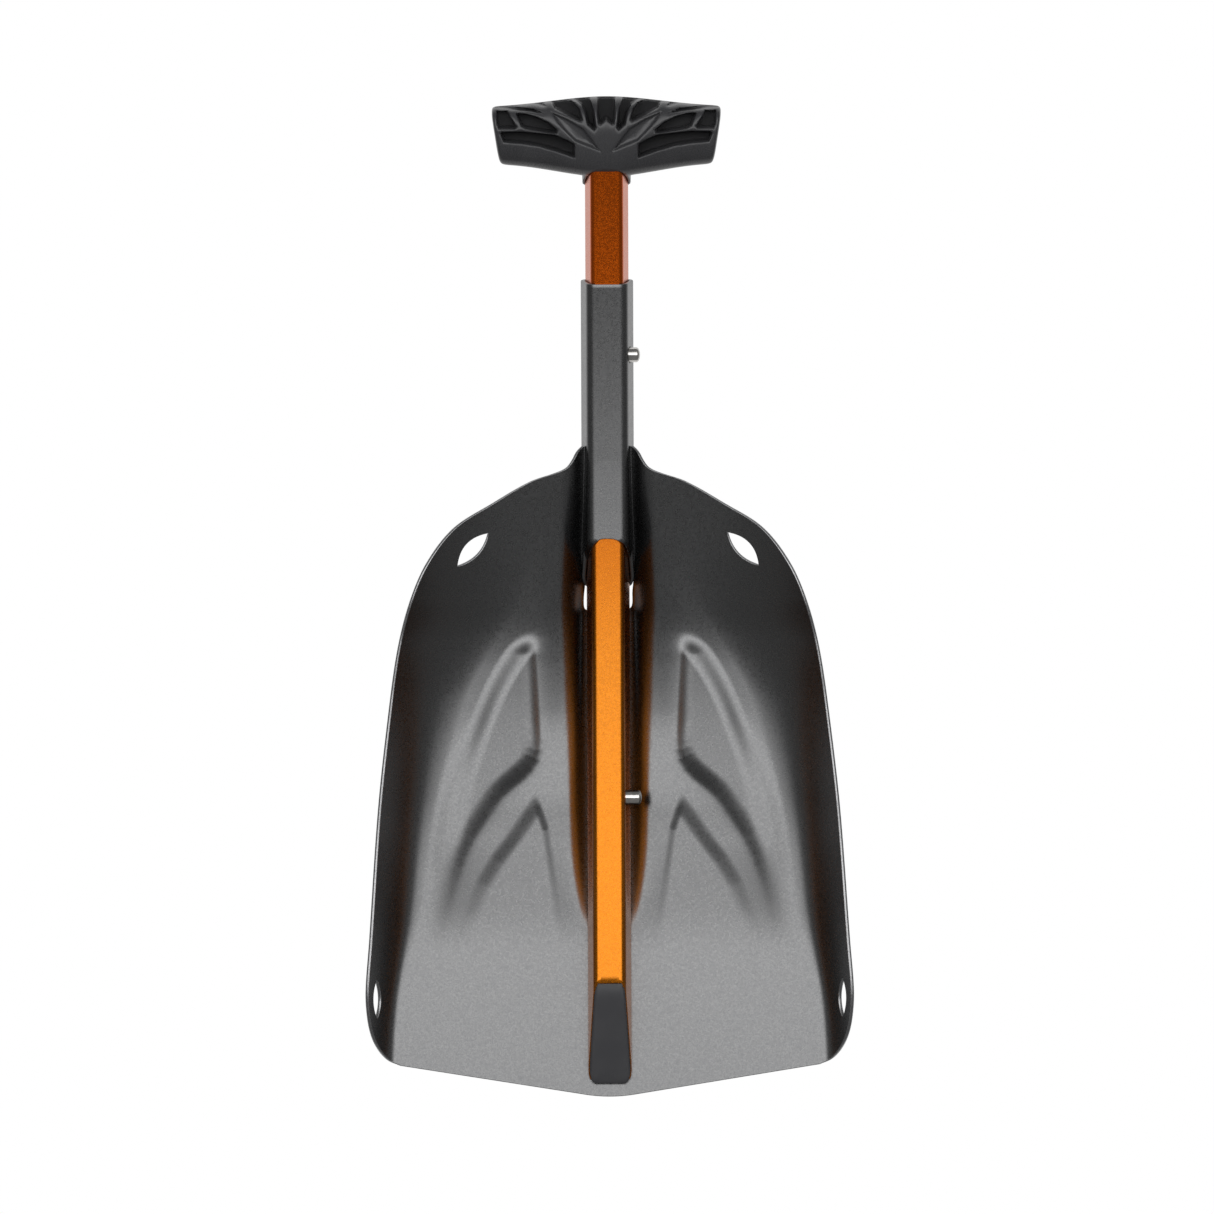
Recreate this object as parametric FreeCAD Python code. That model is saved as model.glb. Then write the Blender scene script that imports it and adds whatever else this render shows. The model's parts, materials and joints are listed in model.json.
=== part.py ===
"""Packable avalanche shovel: a pressed blade with a closed neck, a curved tube that slides through the neck,
a T-grip, a slanted end cap, and two sprung snap buttons that latch the shaft packed or extended.

Millimetres. +Z runs up the handle, the scooping face looks along -Y, and +X is to the right seen from there.
"Depth" is measured from the arc that the shaft's centreline follows, and is negative towards the front.
"""

import FreeCAD, Part

import math
import os

V = FreeCAD.Vector
X_AXIS = V(1, 0, 0)
Y_AXIS = V(0, 1, 0)

# ---- the arc that the shaft follows ----
ARC_R = 1250.0              # radius of the shaft's centreline
ARC_Z = 235.0               # height at which the shaft is upright
ARC_CENTRE = V(0, -ARC_R, ARC_Z)
ORIGIN_SHIFT = 12.5         # moves the finished parts in Y, so that the origin is midway front to back

# ---- shaft ----
SHAFT_FRONT = 7.6           # half-width of the front face, before its corners are rounded
SHAFT_BACK = 11.2           # half-width of the back face
SHAFT_DEPTH = 11.0          # half the depth, front to back
SHAFT_R_FRONT = 4.0         # outer corner radii
SHAFT_R_BACK = 3.5
SHAFT_WALL = 1.6
SHAFT_TOP_S = 238.0         # arc length of its top end above ARC_Z, inside the grip
SHAFT_BOTTOM_Z = 9.0
SLANT_FRONT_Z = 58.3        # the slanted cut meets the front face here
SLANT_BACK_Z = 6.0          # and the back face here
CAP_HEAD = 2.2              # thickness of the end cap's ramp over the slanted cut
CAP_BOTTOM_Z = 3.4
CAP_TOP_Z = 72.0            # of its plug, inside the shaft
CAP_SKIN = 2.6              # wall of the plug, which is cored out from above
CAP_CORE_Z = 24.0
FIT = 0.05                  # clearance of the plastic parts on the shaft
CAP_RIVET_Z = 20.0
CAP_RIVET_R = 1.6

# ---- blade and neck ----
SHEET = 2.0                 # thickness of the blade
GAP = 0.3                   # between shaft and neck
FLOOR_DEPTH = 11.5          # front surface of the channel's floor
LIP_Z = 273.0               # lower lip of the neck's front
NECK_RING_Z = 297.0         # the neck is a closed tube above this at the front
NECK_RING_BACK_Z = 250.0    # and above this at the back
NECK_TOP_Z = 399.7
NECK_INSET = 0.15           # the sheet lies this far inside the neck tube where they overlap
CHANNEL_END_Z = 78.0
CHANNEL_HALF = 12.8

# ---- snap buttons ----
BUTTON_Z = {"upper": 364.3, "lower": 146.6}     # the upper one is latched when the shovel is packed
BUTTON_DEPTH = -3.5
BUTTON_R = 3.7
BUTTON_HOLE_R = 3.85        # hole in the shaft
NECK_HOLE_R = 4.15          # hole in the neck
BUTTON_END = 16.1           # how far out from the middle a button reaches
FLANGE_R = 4.4
FLANGE_X = (4.6, 6.0)
DOME_R = 1.9                # rounding of the pin's outer end
STEM_R = 1.4                # the pin is riveted through the leaf with this stem
LEAF = 0.6                  # leaf spring thickness
LEAF_WIDTH = 6.5
LEAF_LENGTH = 40.0
LEAF_BEND_R = 2.2
LEAF_BACK_X = -6.3          # outer face of the leg that bears on the shaft's far wall

# ---- grip, in arc length above ARC_Z ----
GRIP_HALF = 57.0
GRIP_TOP_S = 256.7          # top and bottom edges in the middle, and how far they come in at the ends
GRIP_LOW_S = 217.3
GRIP_TOP_DROP = 4.8
GRIP_LOW_RISE = 5.5
GRIP_MIDDLE_S = 235.0       # the grip is upright to the shaft here
GRIP_END_X = 55.9           # the end faces lean in towards the top
GRIP_END_LEAN = 0.155
GRIP_FRONT = -15.5
GRIP_BACK = 14.5
POCKET_FLOOR = -6.0
GRIP_RIVET_S = 226.0
GRIP_RIVET_R = 2.0
COLLAR_WALL = 1.3           # sleeve round the shaft under the bar
COLLAR_LOW_S = 209.5
COLLAR_HEIGHT = 20.0
COLLAR_RAKE = 0.35          # its lower end rises towards the front

# Outline of the blade's right half, from the cutting edge's corner up to the neck.
EDGE_ANGLE = 9.0            # of the cutting edge, each side of the tip
TIP_HALF = 12.0             # half-width of the rounded tip
CORNER_X = 103.0            # where the cutting edge starts to turn up
CORNER = [(109.0, 17.9), (113.4, 22.4), (116.9, 29.2), (119.0, 38.5)]
SIDE = [(119.8, 52.0), (118.0, 77.0), (113.6, 140.0), (108.7, 185.0), (103.8, 219.0), (97.9, 242.0),
        (89.3, 262.0), (76.0, 279.3), (57.0, 291.5), (38.5, 302.0), (27.0, 306.2), (19.4, 310.0),
        (15.3, 316.0), (13.0, 322.0)]

# Knots (height, value) of the sheet's shape.
BORDER = [(0, 104), (48, 101), (96, 91), (146, 83), (195, 70), (224, 55), (245, 42), (270, 35), (325, 32)]
CURL = [(0, .073), (48, .073), (96, .044), (146, .0315), (195, .019), (224, .0115), (250, .0090), (325, .0086)]
RIDGE = [(0, 0), (150, 0), (200, 1.2), (250, 3.4), (325, 3.6)]
RIDGE_X = 25.0
RIDGE_WIDTH = 8.0
FLOOR = [(0, 8.0), (60, 9.5), (95, 11.5), (225, 11.5), (240, 11.5), (273, 6.0), (297, -1.0), (325, -4.0)]
PANEL = [(0, 0), (60, 0), (78, 0.3), (100, 1.4), (150, 4.4), (210, 8.0), (240, 11.6), (300, 20.8), (325, 24.4)]
WALL_SLOPE = [(78, 0.9), (106, 1.0), (153, 1.2), (195, 1.5), (240, 1.9), (325, 2.3)]

# Edges of the pressed fins and of the panels between them and the channel, as chains of (x, z) points.
FIN_OUTER = [(42.5, 229), (51.0, 220), (61.0, 203), (68.5, 185), (75.5, 164), (80.0, 146), (83.7, 125), (87.5, 85),
             (90.0, 55)]
FIN_INNER = [(35.0, 222), (33.7, 188), (33.7, 169), (38.5, 160), (52.0, 148), (60.0, 137), (67.3, 125),
             (73.0, 111), (80.0, 85), (87.0, 55)]
PANEL_OUTER = [(37.0, 141), (46.0, 128), (55.0, 116), (62.0, 104), (68.0, 88), (77.0, 55)]
PANEL_INNER = [(34.0, 141), (31.2, 131), (27.8, 106), (24.0, 77), (21.0, 55)]
FIN_RISE = 4.6              # forward of the bowl
FIN_TOP_Z = 229.5
FIN_TOP_WIDTH = 13.0        # of the slopes round a fin
FIN_OUTER_WIDTH = 13.0
FIN_INNER_WIDTH = 10.0
BAND_RISE = 2.2             # of the bowl outside the fins' outer edges, below BAND_TOP_Z
BAND_TOP_Z = 190.0
BAND_FADE = 50.0
BAND_WIDTH = 9.0
PANEL_STEP = 1.5            # how far the triangular panels are pressed back
PANEL_OUTER_WIDTH = 7.5
PANEL_INNER_WIDTH = 5.0
FADE_LOW_Z = 68.0           # all of them die out towards this height
FADE_HEIGHT = 58.0

# Window under the lip, through which the shaft comes out. It is wider on the right, where the pin passes.
WINDOW = [(8.5, 238.0), (11.7, 240.5), (12.2, 248.0), (13.4, 254.0), (13.2, 260.0), (11.2, 265.2), (8.4, 270.5),
          (5.0, 273.0), (-5.0, 273.0), (-8.2, 269.5), (-10.2, 261.0), (-11.6, 250.0), (-12.1, 243.0),
          (-11.5, 240.0), (-8.5, 238.0)]

# Leaf-shaped lashing holes: centre, length, bulges on the two sides, lean.
UPPER_HOLE = dict(x=66.0, z=268.5, length=23.0, out=4.4, inn=3.5)
UPPER_HOLE_LEAN = 43.0
LOWER_HOLE = dict(x=113.8, z=48.6, length=20.5, out=3.9, inn=3.9)
LOWER_HOLE_TURN = 62.0      # how far the blade's wall has turned there


def smooth(t):
    """Smooth step from 0 to 1."""
    t = min(1.0, max(0.0, t))
    return t * t * (3 - 2 * t)


def crisp(t):
    """Step from 0 to 1 with a tight bend at its foot and a soft top."""
    t = min(1.0, deeper(t, 0, 0.22))
    return t * (2 - t)


def deeper(a, b, r):
    """The larger of two depths, rounded over r."""
    return 0.5 * (a + b + math.sqrt((a - b) ** 2 + r * r))


def nearer(a, b, r):
    """The smaller of two depths, rounded over r."""
    return 0.5 * (a + b - math.sqrt((a - b) ** 2 + r * r))


def along(knots, z):
    """Value at height z of a smooth curve through the knots."""
    if z <= knots[0][0]:
        return knots[0][1]
    if z >= knots[-1][0]:
        return knots[-1][1]
    i = max(k for k in range(len(knots) - 1) if knots[k][0] <= z)

    def slope(k):
        lo, hi = knots[max(k - 1, 0)], knots[min(k + 1, len(knots) - 1)]
        return (hi[1] - lo[1]) / (hi[0] - lo[0])

    (z0, v0), (z1, v1) = knots[i], knots[i + 1]
    h = z1 - z0
    t = (z - z0) / h
    return ((2 * t**3 - 3 * t**2 + 1) * v0 + (t**3 - 2 * t**2 + t) * h * slope(i)
            + (3 * t**2 - 2 * t**3) * v1 + (t**3 - t**2) * h * slope(i + 1))


def side_of(chain, x, z):
    """Signed distance from a chain of points: positive on its left, walking from first to last."""
    best, sign = 1e9, 1.0
    for (x0, z0), (x1, z1) in zip(chain, chain[1:]):
        dx, dz = x1 - x0, z1 - z0
        t = ((x - x0) * dx + (z - z0) * dz) / (dx * dx + dz * dz)
        t = min(1.0, max(0.0, t))
        ox, oz = x - x0 - t * dx, z - z0 - t * dz
        d = math.hypot(ox, oz)
        if d < best - 1e-9:
            best, sign = d, (1.0 if dx * oz - dz * ox > 0 else -1.0)
    return best * sign


def y_at(depth, z):
    """Y of a point at that depth behind the arc, at height z."""
    return -ARC_R + math.sqrt((ARC_R + depth) ** 2 - (z - ARC_Z) ** 2)


def angle_at(z, depth=0.0):
    """Angle about the arc's axis, in degrees, of height z."""
    return math.degrees(math.asin((z - ARC_Z) / (ARC_R + depth)))


def onto_arc(shape, angle):
    """Turns a shape drawn beside ARC_Z up along the arc."""
    turned = shape.copy()
    turned.rotate(ARC_CENTRE, X_AXIS, angle)
    return turned


# ---- sections of the shaft and of what fits round or in it ----

def trapezoid(offset):
    """Sharp corners (x, depth) of the shaft's outer section grown by offset, right side first."""
    lean = (SHAFT_BACK - SHAFT_FRONT) / (2 * SHAFT_DEPTH)
    grow = offset * math.hypot(1, lean)
    half = SHAFT_DEPTH + offset
    front = SHAFT_FRONT - lean * offset + grow
    back = SHAFT_BACK + lean * offset + grow
    return [(front, -half), (back, half), (-back, half), (-front, -half)]


def section(offset):
    """Rounded section of the shaft grown by offset, as a wire across the arc at ARC_Z."""
    corners = trapezoid(offset)
    radii = [SHAFT_R_FRONT, SHAFT_R_BACK, SHAFT_R_BACK, SHAFT_R_FRONT]
    ends = []
    for i, (x, e) in enumerate(corners):
        here, last, after = V(x, e, 0), V(*corners[i - 1], 0), V(*corners[(i + 1) % 4], 0)
        a, b = (last - here).normalize(), (after - here).normalize()
        half = a.getAngle(b) / 2
        r = max(0.4, radii[i] + offset)
        cut = r / math.tan(half)
        centre = here + (a + b).normalize() * (r / math.sin(half))
        ends.append((here + a * cut, centre + (here - centre).normalize() * r, here + b * cut))
    edges = []
    for i, (start, middle, end) in enumerate(ends):
        edges.append(Part.Arc(start, middle, end).toShape())
        edges.append(Part.LineSegment(end, ends[(i + 1) % 4][0]).toShape())
    wire = Part.Wire(edges)
    wire.translate(V(0, 0, ARC_Z))
    return wire


def swept(offset, low, high):
    """Solid of the grown section, swept along the arc between two angles."""
    face = onto_arc(Part.Face(section(offset)), low)
    return face.revolve(ARC_CENTRE, X_AXIS, high - low)


def neck_profile(x):
    """Depth of the neck's outer front and side at distance x from the middle."""
    offset = GAP + SHEET - NECK_INSET
    (front, near), (back, far) = trapezoid(offset)[:2]
    lean = (back - front) / (far - near)
    r = SHAFT_R_FRONT + offset
    tilt = math.atan(lean)
    cx = front - r * math.tan((math.pi / 2 - tilt) / 2)
    ce = near + r
    if x <= cx:
        return near
    bend = (x - cx) / r
    if bend < math.cos(tilt):
        return ce - r * math.sqrt(1 - bend * bend)
    return near + (x - front) / lean


# ---- blade ----

def emboss(x, z):
    """How far the pressed fins and bands stand forward of the bowl."""
    ends = smooth((z - FADE_LOW_Z) / FADE_HEIGHT)
    outer = side_of(FIN_OUTER, x, z)
    inside = smooth(-outer / FIN_OUTER_WIDTH)
    fin = crisp(side_of(FIN_INNER, x, z) / FIN_INNER_WIDTH) * smooth((FIN_TOP_Z - z) / FIN_TOP_WIDTH)
    band = BAND_RISE * smooth((BAND_TOP_Z - z) / BAND_FADE) * smooth(-outer / BAND_WIDTH + 0.6)
    within = smooth(side_of(PANEL_OUTER, x, z) / -PANEL_OUTER_WIDTH + 0.5)
    within *= smooth(side_of(PANEL_INNER, x, z) / PANEL_INNER_WIDTH + 0.5)
    return ends * (inside * fin * FIN_RISE + (band - PANEL_STEP * within) * (1 - inside * fin))


def panel(x, z):
    """Depth of the bowl between the channel and the rim."""
    flat = FLOOR_DEPTH - along(PANEL, z)
    curl = along(CURL, z) * max(0.0, x - along(BORDER, z)) ** 2
    ridge = along(RIDGE, z) * math.exp(-(((x - RIDGE_X) / RIDGE_WIDTH) ** 2))
    return flat - curl - ridge - emboss(x, z)


def sheet_depth(x, z):
    """Depth of the sheet's front surface."""
    x = abs(x)
    floor = along(FLOOR, z)
    wall = nearer(floor, floor - along(WALL_SLOPE, z) * (x - CHANNEL_HALF), 3.0)
    rounding = 0.5 + 3.5 * smooth((z - CHANNEL_END_Z) / 50) + 4.5 * smooth((z - 140) / 60)
    depth = deeper(panel(x, z), wall, rounding)
    necked = nearer(depth, neck_profile(x), 1.5 + 4.5 * smooth((z - 285) / 20))
    return depth + (necked - depth) * smooth((z - LIP_Z + 14) / 14)


def sheet_point(x, z):
    return V(x, y_at(sheet_depth(x, z), z), z)


def sheet_normal(x, z):
    """Unit normal of the front surface, pointing back through the sheet."""
    h = 0.4
    across = sheet_point(x + h, z) - sheet_point(x - h, z)
    up = sheet_point(x, z + h) - sheet_point(x, z - h)
    normal = across.cross(up).normalize()
    return normal if normal.y > 0 else normal * -1


def grid_lines():
    """Stations across the sheet, close together near the neck, and up it."""
    near = [0, 2.5, 5, 6.7, 8, 9, 9.8, 10.6, 11.4, 12.2, 13, 13.8, 14.8, 16, 17.5, 19, 21, 23, 25, 27.5, 30]
    half = near + [30 + 3.0 * i for i in range(1, 32)]
    return [-x for x in reversed(half[1:])] + half, [-6 + 4.0 * i for i in range(83)]


def slab():
    """The untrimmed sheet as a solid between its front and back surfaces."""
    xs, zs = grid_lines()
    fronts, backs = [], []
    for x in xs:
        points = [(sheet_point(x, z), sheet_normal(x, z)) for z in zs]
        fronts.append([p for p, n in points])
        backs.append([p + n * SHEET for p, n in points])
    faces = []
    for rows in (fronts, backs):
        surface = Part.BSplineSurface()
        surface.interpolate(rows)
        faces.append(surface)
    front, back = faces
    sides = []
    for which in range(2):
        for last in (False, True):
            curves = []
            for s in (front, back):
                low, high = s.bounds()[2 * which:2 * which + 2]
                at = high if last else low
                curves.append((s.uIso(at) if which == 0 else s.vIso(at)).toShape())
            sides.append(Part.makeRuledSurface(*curves))
    shell = Part.makeShell([front.toShape(), back.toShape(), *sides])
    shell.sewShape()
    solid = Part.Solid(Part.Shell(shell.Faces))
    if solid.Volume < 0:
        solid.reverse()
    return solid


def blade_outline():
    """Closed outline of the blade as seen from the front."""
    def curve(points):
        spline = Part.BSplineCurve()
        spline.interpolate([V(x, 0, z) for x, z in points])
        return spline.toShape()

    def mirrored(points):
        return [(-x, z) for x, z in reversed(points)]

    slope = math.tan(math.radians(EDGE_ANGLE))
    tip_z = TIP_HALF * math.tan(math.radians(EDGE_ANGLE / 2))
    corner_z = tip_z + (CORNER_X - TIP_HALF) * slope
    right = [(CORNER_X, corner_z), *CORNER, *SIDE]
    top_x, top_z = right[-1]
    return Part.Wire([
        curve(right),
        Part.LineSegment(V(top_x, 0, top_z), V(-top_x, 0, top_z)).toShape(),
        curve(mirrored(right)),
        Part.LineSegment(V(-CORNER_X, 0, corner_z), V(-TIP_HALF, 0, tip_z)).toShape(),
        Part.Arc(V(-TIP_HALF, 0, tip_z), V(), V(TIP_HALF, 0, tip_z)).toShape(),
        Part.LineSegment(V(TIP_HALF, 0, tip_z), V(CORNER_X, 0, corner_z)).toShape(),
    ])


def prism(wire, low, high):
    """Solid of an outline in the XZ plane, from y low to y high."""
    face = Part.Face(wire)
    face.translate(V(0, low, 0))
    return face.extrude(V(0, high - low, 0))


def leaf(length, out, inn):
    """Leaf-shaped outline about the origin, its long way along Z, in the XZ plane."""
    top, bottom = V(0, 0, length / 2), V(0, 0, -length / 2)
    return Part.Wire([
        Part.Arc(bottom, V(out, 0, 0), top).toShape(),
        Part.Arc(top, V(-inn, 0, 0), bottom).toShape(),
    ])


def lashing_holes():
    """Tools that cut the four holes in the rim."""
    tools = []
    for side in (1, -1):
        for spot, lean, turn in ((UPPER_HOLE, UPPER_HOLE_LEAN, 0), (LOWER_HOLE, 0, LOWER_HOLE_TURN)):
            tool = prism(leaf(spot["length"], spot["out"], spot["inn"]), -30, 30)
            tool.rotate(V(), Y_AXIS, -lean)
            tool.rotate(V(), V(0, 0, 1), turn)
            y = y_at(sheet_depth(spot["x"], spot["z"]), spot["z"]) if turn else 0
            if turn:
                tool = tool.common(Part.makeBox(60, 24, 80, V(-30, -12, -40)))
            tool.translate(V(spot["x"], y, spot["z"]))
            tools.append(tool if side == 1 else tool.mirror(V(), X_AXIS))
    return tools


def window():
    """Tool that cuts the opening through which the shaft passes from the neck to the blade's front."""
    loop = [V(x, 0, z) for x, z in WINDOW]
    return prism(Part.makePolygon(loop + loop[:1]), -60, 60)


def button_axis_point(z):
    """Where a button's axis crosses the middle plane."""
    return onto_arc(Part.Vertex(V(0, BUTTON_DEPTH, ARC_Z)), angle_at(z)).Point


def bar_x(radius, z, low, high):
    """Cylinder along X through a button's axis."""
    base = button_axis_point(z)
    return Part.makeCylinder(radius, high - low, V(low, base.y, base.z), X_AXIS)


def ring_slant():
    """Half space below and in front of the slanted lower end of the neck's closed tube."""
    outer = SHAFT_DEPTH + GAP + SHEET
    front = V(0, y_at(-outer, NECK_RING_Z), NECK_RING_Z)
    back = V(0, y_at(outer, NECK_RING_BACK_Z), NECK_RING_BACK_Z)
    along_it = (back - front).normalize()
    out = V(0, along_it.z, -along_it.y)
    a, b = front - along_it * 40, back + along_it * 40
    loop = [a, b, b + out * 90, a + out * 90]
    face = Part.Face(Part.makePolygon(loop + loop[:1]))
    face.translate(V(-40, 0, 0))
    return face.extrude(V(80, 0, 0))


def make_blade():
    sheet = slab().common(prism(blade_outline(), -90, 60))
    high = angle_at(NECK_TOP_Z)
    neck = swept(GAP + SHEET, angle_at(NECK_RING_BACK_Z - 5), high).cut(ring_slant())
    path = swept(GAP, angle_at(-30), high + 2)
    blade = sheet.fuse(neck).cut(path)
    return blade.cut([window(), bar_x(NECK_HOLE_R, BUTTON_Z["upper"], 0, 30), *lashing_holes()])


# ---- shaft and what is fixed to it ----

def slant_tool(lift=0.0):
    """Half space in front of and below the shaft's slanted end, raised by lift."""
    front = V(0, y_at(-SHAFT_DEPTH, SLANT_FRONT_Z), SLANT_FRONT_Z)
    back = V(0, y_at(SHAFT_DEPTH, SLANT_BACK_Z), SLANT_BACK_Z)
    down = (back - front).normalize()
    out = V(0, down.z, -down.y)
    a = front - down * 200 - out * lift
    b = back + down * 60 - out * lift
    loop = [a, b, b + out * 120, a + out * 120]
    face = Part.Face(Part.makePolygon(loop + loop[:1]))
    face.translate(V(-40, 0, 0))
    return face.extrude(V(80, 0, 0))


def rivet(z_angle, depth_in, depth_out, r, head_r, head):
    """Blind rivet from the back: a shank with a low head outside depth_out, or a flush one if head is below 0."""
    base = V(0, depth_in, ARC_Z)
    shank = Part.makeCylinder(r, depth_out - depth_in, base, Y_AXIS)
    if head > 0:
        cap = Part.makeCone(head_r, head_r * 0.6, head, V(0, depth_out, ARC_Z), Y_AXIS)
    else:
        cap = Part.makeCone(r, head_r, -head, V(0, depth_out + head, ARC_Z), Y_AXIS)
    return onto_arc(shank.fuse(cap).removeSplitter(), z_angle)


def make_grip_rivet():
    inner = SHAFT_DEPTH - SHAFT_WALL - 2.5
    angle = math.degrees(GRIP_RIVET_S / ARC_R)
    return rivet(angle, inner, GRIP_BACK - 0.8, GRIP_RIVET_R, 2 * GRIP_RIVET_R, 1.4)


def make_cap_rivet():
    inner = SHAFT_DEPTH - 7.0
    return rivet(angle_at(CAP_RIVET_Z), inner, SHAFT_DEPTH - 0.1, CAP_RIVET_R, 1.75 * CAP_RIVET_R, -1.2)


def make_shaft(cap_rivet, grip_rivet):
    low, high = angle_at(-10), math.degrees(SHAFT_TOP_S / ARC_R)
    tube = swept(0, low, high).cut(swept(-SHAFT_WALL, low - 1, high + 1))
    tube = tube.cut(slant_tool())
    foot = Part.makeBox(60, 60, 40, V(-30, -50, SHAFT_BOTTOM_Z - 40))
    holes = [bar_x(BUTTON_HOLE_R, z, 0, 20) for z in BUTTON_Z.values()]
    return tube.cut([foot, *holes, cap_rivet, grip_rivet])


def make_end_cap(cap_rivet):
    """Ramp that closes the slanted end, with a hollow plug inside the shaft."""
    low = angle_at(CAP_BOTTOM_Z)
    head = swept(0, low, angle_at(SLANT_FRONT_Z + 5)).cut(slant_tool(-CAP_HEAD)).common(slant_tool())
    inside = -SHAFT_WALL - FIT
    plug = swept(inside, angle_at(SHAFT_BOTTOM_Z), angle_at(CAP_TOP_Z)).cut(slant_tool())
    foot = Part.makeBox(60, 60, 40, V(-30, -50, SHAFT_BOTTOM_Z - FIT - 40))
    toe = swept(0, low, angle_at(SHAFT_BOTTOM_Z) + 1).cut(slant_tool()).common(foot)
    core = swept(inside - CAP_SKIN, angle_at(CAP_CORE_Z), angle_at(CAP_TOP_Z + 5)).cut(slant_tool(CAP_SKIN))
    return head.fuse([plug, toe]).cut([core, cap_rivet]).removeSplitter()


def pin(z):
    """Steel pin with a domed end, a flange that stops it behind the shaft's wall, and a rivet stem."""
    out = bar_x(BUTTON_R, z, FLANGE_X[0], BUTTON_END)
    out = out.makeFillet(DOME_R, [e for e in out.Edges if e.CenterOfMass.x > BUTTON_END - 1 and e.Closed])
    return out.fuse([bar_x(FLANGE_R, z, *FLANGE_X), bar_x(STEM_R, z, FLANGE_X[0] - 1.2, FLANGE_X[0])])


def leaf_spring(z):
    """V of spring strip: one leg carries the pin, the other bears on the shaft's far wall."""
    base = button_axis_point(z)
    near, far, bend = FLANGE_X[0], LEAF_BACK_X, LEAF_BEND_R
    outer = [V(near, 0, 6), V(near, 0, -8), V(far + 2 * bend, 0, -LEAF_LENGTH),
             V(far + bend, 0, -LEAF_LENGTH - bend), V(far, 0, -LEAF_LENGTH), V(far, 0, 6)]
    inner = [V(near - LEAF, 0, 6), V(near - LEAF, 0, -8), V(far + 2 * bend - LEAF, 0, -LEAF_LENGTH),
             V(far + bend, 0, -LEAF_LENGTH - bend + LEAF), V(far + LEAF, 0, -LEAF_LENGTH), V(far + LEAF, 0, 6)]
    edges = [Part.LineSegment(outer[0], inner[0]).toShape(), Part.LineSegment(outer[5], inner[5]).toShape()]
    for side in (outer, inner):
        edges += [Part.LineSegment(side[i], side[i + 1]).toShape() for i in (0, 1, 4)]
        edges.append(Part.Arc(*side[2:5]).toShape())
    wire = Part.Wire(Part.__sortEdges__(edges))
    strip = prism(wire, -LEAF_WIDTH / 2, LEAF_WIDTH / 2)
    strip.rotate(V(), X_AXIS, angle_at(z))
    strip.translate(V(0, base.y, base.z))
    return strip


def make_snap_button(z):
    """A pin riveted to its leaf spring, which is one piece to buy and to fit."""
    return pin(z).fuse(leaf_spring(z)).removeSplitter()


# ---- grip ----

def grip_section(x):
    """Rounded section of the grip's bar at distance x from the middle, as a wire at ARC_Z."""
    ease = smooth(abs(x) / GRIP_HALF)
    top = GRIP_TOP_S - GRIP_TOP_DROP * smooth(abs(x) / 54)
    low = GRIP_LOW_S + GRIP_LOW_RISE * smooth(abs(x) / 50)
    front = GRIP_FRONT + 3.5 * ease
    back = GRIP_BACK - 1.5 * ease
    half_s, half_e = (top - low) / 2, (back - front) / 2
    ms, me = (top + low) / 2, (front + back) / 2
    blunt = 0.78                # how square the section is: 1 is a box, 0.707 an ellipse
    points = []
    for i in range(8):
        a = math.pi / 4 * i
        stretch = blunt / 0.7071 if i % 2 else 1.0
        points.append(V(x, me + half_e * math.cos(a) * stretch, ms + half_s * math.sin(a) * stretch))
    spline = Part.BSplineCurve()
    spline.interpolate(points, PeriodicFlag=True)
    return Part.Wire([spline.toShape()])


def grip_pockets():
    """Tools for the deep pockets between the ribs of the grip's front, as (x, s) loops of its right half."""
    loops = [
        [(54, 249), (48, 249), (43.8, 241.5), (52.5, 241)],
        [(44.5, 248), (38.5, 247.8), (31.5, 245), (24, 239.8), (24.5, 238.8), (39, 240.4), (41, 241.4)],
        [(52.3, 238), (50.8, 239.2), (35.5, 239), (23.2, 236.7), (17.2, 232.8), (15.8, 228.8), (31, 232.3),
         (43.5, 234.2), (50.2, 234.8)],
        [(27.2, 253.8), (19, 253.8), (14.2, 251), (11.6, 244), (12.2, 243), (21, 247), (24.8, 249.8)],
        [(18, 255), (12, 256.5), (7.8, 253), (6.1, 248), (5.1, 240), (6.6, 238.5), (9.6, 241.7), (10.2, 247)],
    ]
    tools = []
    for loop in loops:
        for side in (1, -1):
            corners = [V(side * x, 0, s) for x, s in loop]
            tools.append(prism(Part.makePolygon(corners + corners[:1]), -40, POCKET_FLOOR))
    middle = [V(-4.2, 0, 256), V(-4.4, 0, 243), V(-2.6, 0, 242), V(0, 0, 244), V(2.6, 0, 242), V(4.4, 0, 243),
              V(4.2, 0, 256)]
    tools.append(prism(Part.makePolygon(middle + middle[:1]), -40, POCKET_FLOOR))
    return tools


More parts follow.
